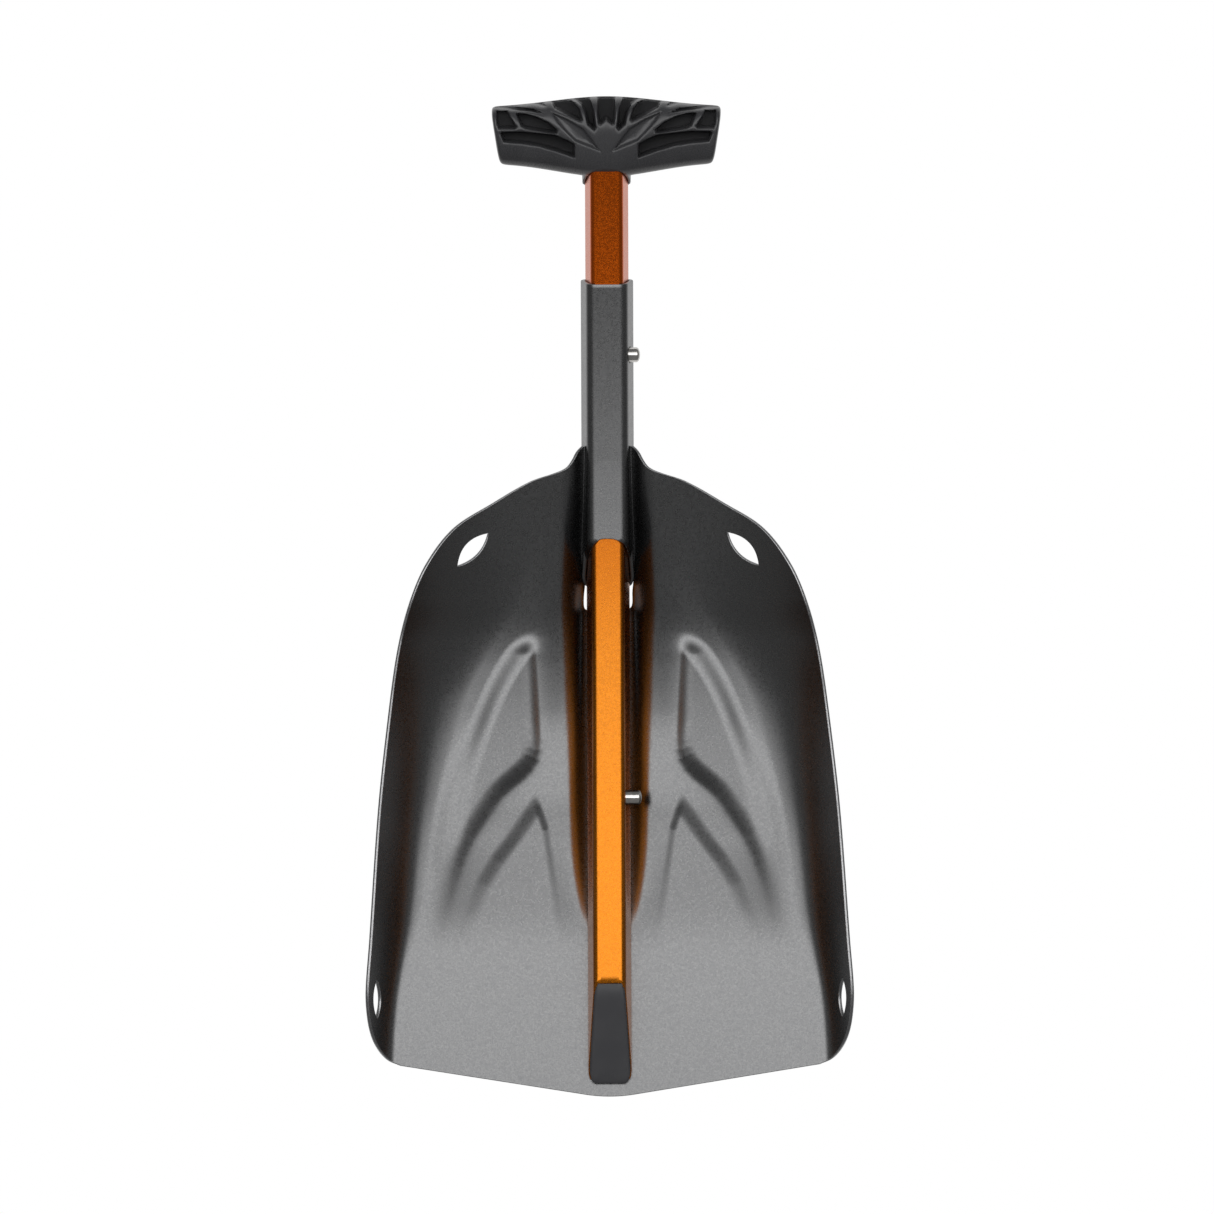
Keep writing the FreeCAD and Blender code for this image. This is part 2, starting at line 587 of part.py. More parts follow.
def make_grip(grip_rivet):
    """T-grip drawn in arc length, then set on the arc with its middle upright to the shaft."""
    stations = [-GRIP_HALF, -46.0, -30.0, -14.0, 0.0, 14.0, 30.0, 46.0, GRIP_HALF]
    bar = Part.makeLoft([grip_section(x) for x in stations], True)
    ends = []
    for side in (1, -1):
        lean = GRIP_END_LEAN * (GRIP_TOP_S - GRIP_LOW_S)
        loop = [V(side * GRIP_END_X, -40, GRIP_TOP_S), V(side * (GRIP_END_X + lean), -40, GRIP_LOW_S),
                V(side * 90, -40, GRIP_LOW_S - 20), V(side * 90, -40, GRIP_TOP_S + 20),
                V(side * (GRIP_END_X - 20 * GRIP_END_LEAN), -40, GRIP_TOP_S + 20)]
        ends.append(Part.Face(Part.makePolygon(loop + loop[:1])).extrude(V(0, 80, 0)))
    bar = bar.cut(ends)
    for tool in grip_pockets():
        bar = bar.cut(tool)
    bar.translate(V(0, 0, ARC_Z))
    collar = Part.Face(section(COLLAR_WALL)).extrude(V(0, 0, COLLAR_HEIGHT))
    collar.translate(V(0, 0, COLLAR_LOW_S))
    rise = COLLAR_RAKE * 40
    low = ARC_Z + COLLAR_LOW_S + COLLAR_RAKE * SHAFT_DEPTH
    rake = [V(-30, -20, low + rise / 2), V(-30, 20, low - rise / 2), V(-30, 20, low - 40), V(-30, -20, low - 40)]
    collar = collar.cut(Part.Face(Part.makePolygon(rake + rake[:1])).extrude(V(60, 0, 0)))
    grip = bar.fuse(collar)
    grip.translate(V(0, 0, -GRIP_MIDDLE_S))
    grip = onto_arc(grip, math.degrees(GRIP_MIDDLE_S / ARC_R))
    bore = swept(FIT, math.degrees(190 / ARC_R), math.degrees((SHAFT_TOP_S + 0.2) / ARC_R))
    return grip.cut([bore, grip_rivet])


def main():
    cap_rivet = make_cap_rivet()
    grip_rivet = make_grip_rivet()
    shapes = {
        "blade": make_blade(),
        "shaft_tube": make_shaft(cap_rivet, grip_rivet),
        "end_cap": make_end_cap(cap_rivet),
        "end_cap_rivet": cap_rivet,
        "grip": make_grip(grip_rivet),
        "grip_rivet": grip_rivet,
        **{f"{name}_snap_button": make_snap_button(z) for name, z in BUTTON_Z.items()},
    }
    os.makedirs("parts", exist_ok=True)
    for name, shape in shapes.items():
        shape.translate(V(0, ORIGIN_SHIFT, 0))
        shape.exportStep(f"parts/{name}.step")


main()
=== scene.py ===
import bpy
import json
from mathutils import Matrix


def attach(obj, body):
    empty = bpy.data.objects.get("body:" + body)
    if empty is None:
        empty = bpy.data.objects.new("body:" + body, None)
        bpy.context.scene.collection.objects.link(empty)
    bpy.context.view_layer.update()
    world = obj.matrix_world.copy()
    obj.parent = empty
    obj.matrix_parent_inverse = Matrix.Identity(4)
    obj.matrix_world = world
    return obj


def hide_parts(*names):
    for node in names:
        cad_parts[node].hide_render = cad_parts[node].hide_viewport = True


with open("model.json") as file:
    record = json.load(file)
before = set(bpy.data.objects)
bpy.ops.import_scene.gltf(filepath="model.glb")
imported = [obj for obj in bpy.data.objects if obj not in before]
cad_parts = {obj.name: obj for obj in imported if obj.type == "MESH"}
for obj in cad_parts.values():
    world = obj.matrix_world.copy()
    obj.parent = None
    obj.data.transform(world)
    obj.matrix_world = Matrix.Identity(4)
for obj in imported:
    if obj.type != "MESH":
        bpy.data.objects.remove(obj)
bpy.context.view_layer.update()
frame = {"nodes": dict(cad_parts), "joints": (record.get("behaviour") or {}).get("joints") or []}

# Looks of a packable avalanche shovel. Everything but the two rivets, which are the CAD's own, is built here.
# Shapes are worked out in millimetres, as (x, depth, height) beside the arc that the shaft follows. They turn
# into metres when a mesh is made.

import json
import math

import bpy
import numpy as np
from mathutils import Vector
from mathutils.geometry import delaunay_2d_cdt

MM = 0.001
scene = bpy.context.scene

# ---- the arc that the shaft follows: depth is measured from it, negative towards the front ----
slide = next(joint for joint in frame["joints"] if joint["name"] == "shaft_extend")
CENTRE_Y, ARC_Z = (value / MM for value in slide["pos_m"][1:])
ARC_R = 1250.0              # radius of the shaft's centreline

# ---- shaft ----
SHAFT_FRONT = 7.6           # half-widths of the front and back faces
SHAFT_BACK = 11.2
SHAFT_DEPTH = 11.0          # half the depth
SHAFT_R_FRONT = 4.0
SHAFT_R_BACK = 3.5
SHAFT_WALL = 1.6
SHAFT_TOP_S = 238.0
SHAFT_BOTTOM_Z = 9.0
SLANT_FRONT_Z = 58.3        # the slanted cut meets the front face here
SLANT_BACK_Z = 6.0          # and the back face here
LEAN = (SHAFT_BACK - SHAFT_FRONT) / (2 * SHAFT_DEPTH)

# ---- end cap ----
CAP_HEAD = 2.2              # thickness of its ramp over the slanted cut
CAP_BOTTOM_Z = 3.4
CAP_BOTTOM_R = 2.6
CAP_TOP_Z = 72.0            # of its plug, inside the shaft
CAP_SKIN = 2.6              # wall of the plug, which is cored out from above
CAP_CORE_Z = 24.0
FIT = 0.05                  # clearance of the plug in the shaft

# ---- blade and neck ----
SHEET = 2.0                 # thickness of the blade
SHEET_THINNER = 0.45        # how much less it is inside the neck tube's wall
GAP = 0.3                   # between shaft and neck
FLOOR_DEPTH = 11.5          # front surface of the channel's floor
LIP_Z = 273.0               # lower lip of the neck's front
LIP_BLEND = 14.0            # height over which the sheet takes the neck's shape, up to the lip
WINDOW_Z = 238.0            # lower edge of the window under the lip
NECK_RING_Z = 297.0         # the neck is a closed tube above this at the front
NECK_RING_BACK_Z = 250.0    # and above this at the back
NECK_INSET = 0.08           # the sheet lies this far inside the neck tube where they overlap
NECK_TOP_Z = 399.7
CHANNEL_END_Z = 78.0
CHANNEL_HALF = 12.8
RIM_BULGE = 0.35            # how far the rounded cut edge stands out
EDGE_ANGLE = 9.0
TIP_HALF = 12.0
CORNER_X = 103.0
CORNER = [(109.0, 17.9), (113.4, 22.4), (116.9, 29.2), (119.0, 38.5)]
SIDE = [(119.8, 52.0), (118.0, 77.0), (113.6, 140.0), (108.7, 185.0), (103.8, 219.0), (97.9, 242.0),
        (89.3, 262.0), (76.0, 279.3), (57.0, 291.5), (38.5, 302.0), (27.0, 305.8), (20.5, 308.6),
        (16.8, 312.4), (14.4, 316.0), (12.0, 319.0)]
BORDER = [(0, 104), (48, 101), (96, 91), (146, 83), (195, 70), (224, 55), (245, 42), (270, 35), (325, 32)]
CURL = [(0, .073), (48, .073), (96, .044), (146, .0315), (195, .019), (224, .0115), (250, .0090),
        (325, .0086)]
RIDGE = [(0, 0), (150, 0), (200, 1.2), (250, 3.4), (325, 3.6)]
RIDGE_X = 25.0
RIDGE_WIDTH = 8.0
FLOOR = [(0, 8.0), (60, 9.5), (95, 11.5), (225, 11.5), (240, 11.5), (273, 4.8), (297, -3.0),
         (325, -7.5)]
PANEL = [(0, 0), (60, 0), (78, 0.3), (100, 1.4), (150, 4.2), (210, 7.3), (228, 8.9), (245, 11.5),
         (300, 20.8), (325, 24.4)]
WALL_SLOPE = [(78, 0.9), (106, 1.0), (153, 1.2), (195, 1.5), (240, 1.9), (325, 2.3)]
# Edges of the pressed fins and of the panels between them and the channel, as chains of (x, z) points.
FIN_OUTER = [(42.5, 229), (51.0, 220), (61.0, 203), (68.5, 185), (75.5, 164), (80.0, 146), (83.7, 125),
             (87.5, 85), (90.0, 55)]
FIN_INNER = [(36.6, 250), (35.2, 222), (33.7, 188), (33.7, 169), (38.5, 160), (52.0, 148), (60.0, 137),
             (67.3, 125), (73.0, 111), (80.0, 85), (87.0, 55)]
PANEL_OUTER = [(24.0, 159), (37.0, 141), (46.0, 128), (55.0, 116), (62.0, 104), (68.0, 88), (77.0, 55)]
PANEL_INNER = [(40.0, 159), (34.5, 141), (31.2, 131), (27.8, 106), (24.0, 77), (21.0, 55)]
FIN_RISE = 4.6              # forward of the bowl
FIN_TOP_Z = 229.5
FIN_TOP_WIDTH = 13.0        # of the slopes round a fin
FIN_OUTER_WIDTH = 13.0
FIN_INNER_WIDTH = 9.0
BAND_RISE = 2.2             # of the bowl outside the fins' outer edges, below BAND_TOP_Z
BAND_TOP_Z = 190.0
BAND_FADE = 50.0
BAND_WIDTH = 9.0
PANEL_STEP = 1.3            # how far the triangular panels are pressed back
PANEL_OUTER_WIDTH = 9.0
PANEL_INNER_WIDTH = 4.5
FADE_LOW_Z = 68.0           # all of them die out towards this height
FADE_HEIGHT = 58.0

# Leaf-shaped lashing holes: the lower ones are seen nearly edge on, in the turned-up sides.
LOWER_TURN = 0.47           # how narrow that makes them
UPPER_HOLE = dict(x=66.0, z=268.5, length=23.0, out=4.4, inn=3.5, lean=43.0)
LOWER_HOLE = dict(x=113.8, z=48.6, length=20.5, out=3.9 * LOWER_TURN, inn=3.9 * LOWER_TURN, lean=0.0)

# ---- snap buttons ----
BUTTON_Z = {"upper": 364.3, "lower": 146.6}     # the upper one is latched when the shovel is packed
BUTTON_DEPTH = -3.5
BUTTON_HOLE_R = 3.85        # hole in the shaft
NECK_HOLE_R = 4.15          # hole in the neck

# ---- grip, in arc length above ARC_Z ----
GRIP_MIDDLE_S = 235.0       # the grip is upright to the shaft here
GRIP_TOP_S = 256.3          # top and bottom edges in the middle, and how far they come in at the ends
GRIP_LOW_S = 217.3
GRIP_TOP_DROP = 4.4
GRIP_LOW_RISE = 5.5
GRIP_END_X = 56.9           # the end faces lean in towards the top
GRIP_END_LEAN = 0.155
GRIP_FRONT = -15.5
GRIP_BACK = 14.5
GRIP_SQUARENESS = 2.8       # of the bar's section: 2 is an ellipse
POCKET_DEEP = 10.0          # depth of the pockets in the front, which lessens to the shallow one at mid-depth
POCKET_SHALLOW = 0.8
SCOOP_DEEP = 2.6
COLLAR_WALL = 1.3           # sleeve round the shaft under the bar
COLLAR_LOW_S = 211.0

# ---- studio ----
LIGHT = 2.15                # strengths of the softbox, of the dark around it and of the backdrop
DARK = 0.16
BACKDROP = 0.55
WHITE = 1.0                 # what the camera sees behind the shovel


def smooth(t):
    """Smooth step from 0 to 1."""
    t = np.clip(t, 0, 1)
    return t * t * (3 - 2 * t)


def crisp(t):
    """Step from 0 to 1 with a tight bend at its foot and a soft top."""
    t = np.minimum(1, deeper(t, 0, 0.22))
    return t * (2 - t)


def deeper(a, b, r):
    """The larger of two values, rounded over r."""
    return 0.5 * (a + b + np.sqrt((a - b) ** 2 + r * r))


def nearer(a, b, r):
    """The smaller of two values, rounded over r."""
    return 0.5 * (a + b - np.sqrt((a - b) ** 2 + r * r))


def along(knots, at):
    """Value at each place along a smooth curve through the knots."""
    place, value = np.array(knots, float).T
    slope = np.gradient(value, place)
    slope[1:-1] = (value[2:] - value[:-2]) / (place[2:] - place[:-2])
    at = np.clip(at, place[0], place[-1])
    i = np.clip(np.searchsorted(place, at, side="right") - 1, 0, len(place) - 2)
    h = place[i + 1] - place[i]
    t = (at - place[i]) / h
    return ((2 * t**3 - 3 * t**2 + 1) * value[i] + (t**3 - 2 * t**2 + t) * h * slope[i]
            + (3 * t**2 - 2 * t**3) * value[i + 1] + (t**3 - t**2) * h * slope[i + 1])


def side_of(chain, x, z):
    """Signed distance from a chain of points: positive on its left, walking from first to last."""
    best = np.full(np.shape(x), 1e9)
    sign = np.ones(np.shape(x))
    for (x0, z0), (x1, z1) in zip(chain, chain[1:]):
        dx, dz = x1 - x0, z1 - z0
        t = np.clip(((x - x0) * dx + (z - z0) * dz) / (dx * dx + dz * dz), 0, 1)
        ox, oz = x - x0 - t * dx, z - z0 - t * dz
        d = np.hypot(ox, oz)
        closer = d < best - 1e-9
        best = np.where(closer, d, best)
        sign = np.where(closer, np.where(dx * oz - dz * ox > 0, 1.0, -1.0), sign)
    return best * sign


def inside_loop(loop, x, z):
    """Signed distance from a closed loop of points, negative inside it."""
    best = np.full(np.shape(x), 1e9)
    within = np.zeros(np.shape(x), bool)
    for (x0, z0), (x1, z1) in zip(loop, [*loop[1:], loop[0]]):
        dx, dz = x1 - x0, z1 - z0
        t = np.clip(((x - x0) * dx + (z - z0) * dz) / (dx * dx + dz * dz), 0, 1)
        best = np.minimum(best, np.hypot(x - x0 - t * dx, z - z0 - t * dz))
        if dz != 0:
            within ^= ((z0 > z) != (z1 > z)) & (x < x0 + dx * (z - z0) / dz)
    return np.where(within, -best, best)


def spline(points, step):
    """Points every step or so along a smooth curve through the given points."""
    points = np.array(points, float)
    at = np.concatenate([[0], np.cumsum(np.hypot(*np.diff(points, axis=0).T))])
    where = np.linspace(0, at[-1], int(at[-1] / step) + 2)
    return np.stack([along(list(zip(at, points[:, k])), where) for k in (0, 1)], axis=1)


def y_at(depth, z):
    """Y of a point at that depth, at height z."""
    return CENTRE_Y + np.sqrt((ARC_R + depth) ** 2 - (z - ARC_Z) ** 2)


def arc_length(z):
    """Arc length, above ARC_Z, of height z."""
    return ARC_R * math.asin((z - ARC_Z) / ARC_R)


def on_arc(x, depth, s):
    """Points at that depth and arc length above ARC_Z."""
    x, depth, s = np.broadcast_arrays(x, depth, s)
    angle, radius = s / ARC_R, ARC_R + depth
    return np.stack([x, CENTRE_Y + radius * np.cos(angle), ARC_Z + radius * np.sin(angle)], -1)


FIN_OUTER_CURVE = spline(FIN_OUTER, 5.0).tolist()
FIN_INNER_CURVE = spline(FIN_INNER, 5.0).tolist()


# ---- meshes ----

def make_piece(name, points, faces, normals=None, sharp=None):
    """A piece of that mesh, smooth but for edges sharper than the angle given in degrees."""
    mesh = bpy.data.meshes.new(name)
    mesh.from_pydata((np.asarray(points) * MM).tolist(), [], [list(map(int, face)) for face in faces])
    mesh.shade_smooth()
    if sharp is not None:
        mesh.set_sharp_from_angle(angle=math.radians(sharp))
    if normals is not None:
        mesh.normals_split_custom_set_from_vertices(np.asarray(normals).tolist())
    piece = bpy.data.objects.new(name, mesh)
    scene.collection.objects.link(piece)
    return piece


def ring_faces(rings, around):
    """Quads between closed rings of points, the last ring joined to the first."""
    j, k = np.meshgrid(np.arange(rings), np.arange(around), indexing="ij")
    j, k = j.ravel(), k.ravel()
    up, on = (j + 1) % rings, (k + 1) % around
    return np.stack([j * around + k, j * around + on, up * around + on, up * around + k], axis=1)


def lathe(name, profile, z, count=72, sharp=35):
    """Round piece on a button's axis, of (radius, x) points from its inner end to its outer end."""
    base = on_arc(0.0, BUTTON_DEPTH, arc_length(z))
    turn = 2 * math.pi * np.arange(count) / count
    inner, *middle, outer = profile
    rings = [np.stack([np.full(count, x), base[1] + r * np.cos(turn), base[2] + r * np.sin(turn)], 1)
             for r, x in middle]
    faces = ring_faces(len(rings), count)[:-count].tolist()
    total = len(rings) * count
    faces += [[k, total, (k + 1) % count] for k in range(count)]
    faces += [[total - count + (k + 1) % count, total + 1, total - count + k] for k in range(count)]
    ends = [[inner[1], base[1], base[2]], [outer[1], base[1], base[2]]]
    return make_piece(name, np.concatenate([*rings, ends]), faces, sharp=sharp)


def cut_away(piece, tool, sharp):
    """Takes the tool's volume out of a piece, and the tool out of the scene."""
    modifier = piece.modifiers.new("cut", "BOOLEAN")
    modifier.operation, modifier.solver, modifier.object = "DIFFERENCE", "EXACT", tool
    graph = bpy.context.evaluated_depsgraph_get()
    mesh = bpy.data.meshes.new_from_object(piece.evaluated_get(graph))
    piece.modifiers.clear()
    piece.data = mesh
    mesh.shade_smooth()
    mesh.set_sharp_from_angle(angle=math.radians(sharp))
    bpy.data.objects.remove(tool)


def surface_of(field, low, high, step):
    """Closed surface of a solid given by its distance field: points, quads and normals."""
    axes = [np.arange(a - 1.5 * step, b + 2.5 * step, step) for a, b in zip(low, high)]
    value = field(*np.meshgrid(*axes, indexing="ij"))
    solid = value < 0
    n = np.array(value.shape) - 1
    corners = [solid[i:n[0] + i, j:n[1] + j, k:n[2] + k] for i in (0, 1) for j in (0, 1) for k in (0, 1)]
    count = sum(corner.astype(int) for corner in corners)
    mixed = (count > 0) & (count < 8)
    index = np.full(mixed.shape, -1)
    index[mixed] = np.arange(mixed.sum())
    cells = np.argwhere(mixed)
    total, hits = np.zeros(cells.shape), np.zeros(len(cells))
    unit = np.eye(3, dtype=int)
    for axis in range(3):
        u, v = unit[(axis + 1) % 3], unit[(axis + 2) % 3]
        for start in (0 * u, u, v, u + v):
            first = cells + start
            a, b = value[tuple(first.T)], value[tuple((first + unit[axis]).T)]
            crossed = (a < 0) != (b < 0)
            share = np.where(crossed, a / np.where(crossed, a - b, 1), 0)
            total[crossed] += (first + share[:, None] * unit[axis])[crossed]
            hits += crossed
    points = total / hits[:, None] * step + [axis[0] for axis in axes]
    quads = []
    for axis in range(3):
        u, v = unit[(axis + 1) % 3], unit[(axis + 2) % 3]
        shorter = [slice(0, -1) if k == axis else slice(None) for k in range(3)]
        shifted = [slice(1, None) if k == axis else slice(None) for k in range(3)]
        here, there = solid[tuple(shorter)], solid[tuple(shifted)]
        for edges, flip in ((np.argwhere(here & ~there), 1), (np.argwhere(~here & there), -1)):
            around = [index[tuple((edges - back).T)] for back in (u + v, v, 0 * u, u)]
            quads.append(np.stack(around[::flip], axis=1))
    for _ in range(3):
        slope, height = gradient(field, points)
        length = np.maximum(np.linalg.norm(slope, axis=1), 0.2)
        points -= slope * np.clip(height / length**2, -step, step)[:, None]
    slope, _ = gradient(field, points)
    return points, np.concatenate(quads), slope / np.linalg.norm(slope, axis=1)[:, None]


def gradient(field, points, h=0.05):
    """Slope of a field at each point, and its value there."""
    slope = [field(*(points + h * d).T) - field(*(points - h * d).T) for d in np.eye(3)]
    return np.stack(slope, axis=1) / (2 * h), field(*points.T)


# ---- sections of the shaft and of what fits round it ----

def trapezoid(offset):
    """Sharp corners (x, depth) of the shaft's outer section grown by offset, right side first."""
    grow = offset * math.hypot(1, LEAN)
    half = SHAFT_DEPTH + offset
    front, back = SHAFT_FRONT - LEAN * offset + grow, SHAFT_BACK + LEAN * offset + grow
    return np.array([(front, -half), (back, half), (-back, half), (-front, -half)])


def section_loop(offset, arc_steps=14, side_steps=10):
    """Rounded section of the shaft grown by offset, as (x, depth) points, anticlockwise from above."""
    corners = trapezoid(offset)
    radii = [SHAFT_R_FRONT, SHAFT_R_BACK, SHAFT_R_BACK, SHAFT_R_FRONT]
    arcs = []
    for i, here in enumerate(corners):
        a, b = corners[i - 1] - here, corners[(i + 1) % 4] - here
        a, b = a / np.linalg.norm(a), b / np.linalg.norm(b)
        half = math.acos(a @ b) / 2
        r = radii[i] + offset
        middle = (a + b) / np.linalg.norm(a + b)
        centre = here + middle * r / math.sin(half)
        start, end = here + a * r / math.tan(half) - centre, here + b * r / math.tan(half) - centre
        sweep = math.pi - 2 * half
        t = np.linspace(0, 1, arc_steps)[:, None]
        arcs.append(centre + (np.sin((1 - t) * sweep) * start + np.sin(t * sweep) * end) / math.sin(sweep))
    points = []
    for i, arc in enumerate(arcs):
        t = np.linspace(0, 1, side_steps + 1)[1:-1, None]
        points += [arc, arc[-1] + (arcs[(i + 1) % 4][0] - arc[-1]) * t]
    return np.concatenate(points)


def shaft_field(x, depth):
    """Distance from the shaft's outer section."""
    r = (SHAFT_R_FRONT + SHAFT_R_BACK) / 2
    return inside_loop([tuple(corner) for corner in trapezoid(-r)], x, depth) - r


def neck_profile(x, z):
    """Depth of the neck's outer front and side at distance x from the middle."""
    offset = GAP + SHEET - NECK_INSET * smooth((z - 290) / 30)
    grow = offset * math.hypot(1, LEAN)
    front, near = SHAFT_FRONT - LEAN * offset + grow, -(SHAFT_DEPTH + offset)
    r = SHAFT_R_FRONT + offset
    tilt = math.atan(LEAN)
    cx = front - r * math.tan((math.pi / 2 - tilt) / 2)
    bend = (x - cx) / r
    turned = near + r - r * np.sqrt(1 - np.clip(bend, 0, 0.9999) ** 2)
    return np.where(bend < math.cos(tilt), turned, near + (x - front) / LEAN)


# ---- blade ----

def emboss(x, z):
    """How far the pressed fins and bands stand forward of the bowl."""
    ends = smooth((z - FADE_LOW_Z) / FADE_HEIGHT)
    outer = side_of(FIN_OUTER_CURVE, x, z)
    inside = smooth(-outer / FIN_OUTER_WIDTH)
    fin = crisp(side_of(FIN_INNER_CURVE, x, z) / FIN_INNER_WIDTH)
    fin = fin * smooth((FIN_TOP_Z - z) / FIN_TOP_WIDTH)
    band = BAND_RISE * smooth((BAND_TOP_Z - z) / BAND_FADE) * smooth(-outer / BAND_WIDTH + 0.6)
    within = smooth(side_of(PANEL_OUTER, x, z) / -PANEL_OUTER_WIDTH + 0.5)
    within = within * smooth(side_of(PANEL_INNER, x, z) / PANEL_INNER_WIDTH + 0.5)
    return ends * (inside * fin * FIN_RISE + (band - PANEL_STEP * within) * (1 - inside * fin))


def panel(x, z):
    """Depth of the bowl between the channel and the rim."""
    flat = FLOOR_DEPTH - along(PANEL, z)
    curl = along(CURL, z) * np.maximum(0.0, x - along(BORDER, z)) ** 2
    ridge = along(RIDGE, z) * np.exp(-(((x - RIDGE_X) / RIDGE_WIDTH) ** 2))
    return flat - curl - ridge - emboss(x, z)


def sheet_depth(x, z):
    """Depth of the sheet's front surface."""
    x = np.abs(x)
    floor = along(FLOOR, z)
    wall = nearer(floor, floor - along(WALL_SLOPE, z) * (x - CHANNEL_HALF), 3.0)
    wall_top = 0.5 + 3.5 * smooth((z - CHANNEL_END_Z) / 50) + 3.8 * smooth((z - 140) / 60)
    depth = deeper(panel(x, z), wall, wall_top)
    fillet = 1.2 + 4.8 * smooth((z - 285) / 20) * smooth((x - 12) / 5)
    necked = nearer(depth, neck_profile(x, z), fillet)
    return depth + (necked - depth) * smooth((z - LIP_Z + LIP_BLEND) / LIP_BLEND)


def sheet_point(x, z):
    """Point of the sheet's front surface."""
    return np.stack([x, y_at(sheet_depth(x, z), z), z], axis=-1)


def sheet_normal(x, z):
    """Unit normal of the front surface, pointing back through the sheet."""
    h = 0.15
    across = sheet_point(x + h, z) - sheet_point(x - h, z)
    up = sheet_point(x, z + h) - sheet_point(x, z - h)
    normal = np.cross(up, across)
    return normal / np.linalg.norm(normal, axis=-1, keepdims=True)


def blade_outline(step=1.3):
    """Outline of the blade as seen from the front, anticlockwise from its tip."""
    tip_z = TIP_HALF * math.tan(math.radians(EDGE_ANGLE / 2))
    tip_r = (TIP_HALF**2 + tip_z**2) / (2 * tip_z)
    corner_z = tip_z + (CORNER_X - TIP_HALF) * math.tan(math.radians(EDGE_ANGLE))
    x = np.arange(0, TIP_HALF, step)
    tip = np.stack([x, tip_r - np.sqrt(tip_r**2 - x**2)], axis=1)
    t = np.linspace(0, 1, int((CORNER_X - TIP_HALF) / step))[:-1, None]
    edge = np.array([TIP_HALF, tip_z]) * (1 - t) + np.array([CORNER_X, corner_z]) * t
    side = spline([(CORNER_X, corner_z), *CORNER, *SIDE], step)
    right = np.concatenate([tip, edge, side])
    top_x, top_z = SIDE[-1]
    top = np.array([(x, top_z) for x in np.linspace(top_x, -top_x, 22)[1:-1]])
    return np.concatenate([right, top, right[:0:-1] * [-1, 1]])


def leaf(x, z, length, out, inn, lean):
    """Leaf-shaped hole, clockwise, its long way leaning from upright by lean degrees."""
    along_it = np.linspace(-1, 1, 17)
    bulge = 1 - along_it**2
    right = np.stack([out * bulge, along_it * length / 2], axis=1)
    left = np.stack([-inn * bulge, along_it * length / 2], axis=1)
    loop = np.concatenate([right[::-1], left[1:-1]])
    a = math.radians(lean)
    turned = np.stack([loop[:, 0] * math.cos(a) - loop[:, 1] * math.sin(a),
                       loop[:, 0] * math.sin(a) + loop[:, 1] * math.cos(a)], axis=1)
    return turned + [x, z]


def window_loop():
    """Opening through which the shaft passes from the neck to the blade's front, clockwise."""
    left = [(-8.5, WINDOW_Z), (-11.5, 239.2), (-12.1, 243.0), (-11.6, 250.0), (-10.2, 261.0), (-8.2, 269.0),
            (-4.8, 273.2)]
    right = [(4.8, 273.2), (8.4, 270.8), (10.9, 265.2), (12.2, 260.0), (12.5, 254.0), (12.0, 248.0),
             (11.6, 240.5), (8.5, WINDOW_Z)]
    edge = spline([*left, (0.0, 274.0), *right], 0.7)
    bottom = np.array([(x, WINDOW_Z) for x in np.linspace(8.5, -8.5, 18)[1:-1]])
    return np.concatenate([edge, bottom])


def trimmed(loop):
    """The front surface's share of an outline whose outermost points lie on the sheet's back or cut edge."""
    ahead = np.roll(loop, -1, axis=0) - np.roll(loop, 1, axis=0)
    outward = np.stack([ahead[:, 1], -ahead[:, 0]], axis=1) / np.linalg.norm(ahead, axis=1)[:, None]
    normal = sheet_normal(*loop.T)[:, [0, 2]]
    proud = np.maximum(0, np.sum(normal * outward, axis=1)) * SHEET + RIM_BULGE
    proud *= 1 - smooth((loop[:, 1] - 303) / 14)
    return loop - outward * proud[:, None]


def lattice():
    """Points over the blade, close together across the neck and the channel's walls."""
    spacing = [(0, 1.3), (7, 1.0), (8.5, 0.45), (17, 0.45), (24, 0.8), (48, 0.9), (80, 1.2), (95, 1.6),
               (122, 1.7)]
    place, width = np.array(spacing).T
    columns = [0.0]
    while columns[-1] < place[-1]:
        columns.append(columns[-1] + np.interp(columns[-1], place, width))
    step = np.arange(len(columns))
    points = []
    for row, z in enumerate(np.arange(0.4, 323, 1.2)):
        x = np.interp(step + 0.5 * (row % 2), step, columns)[:-1]
        x = np.concatenate([-x[::-1], x[row % 2 == 0:]])
        points.append(np.stack([x, np.full(len(x), z)], axis=1))
    return np.concatenate(points)


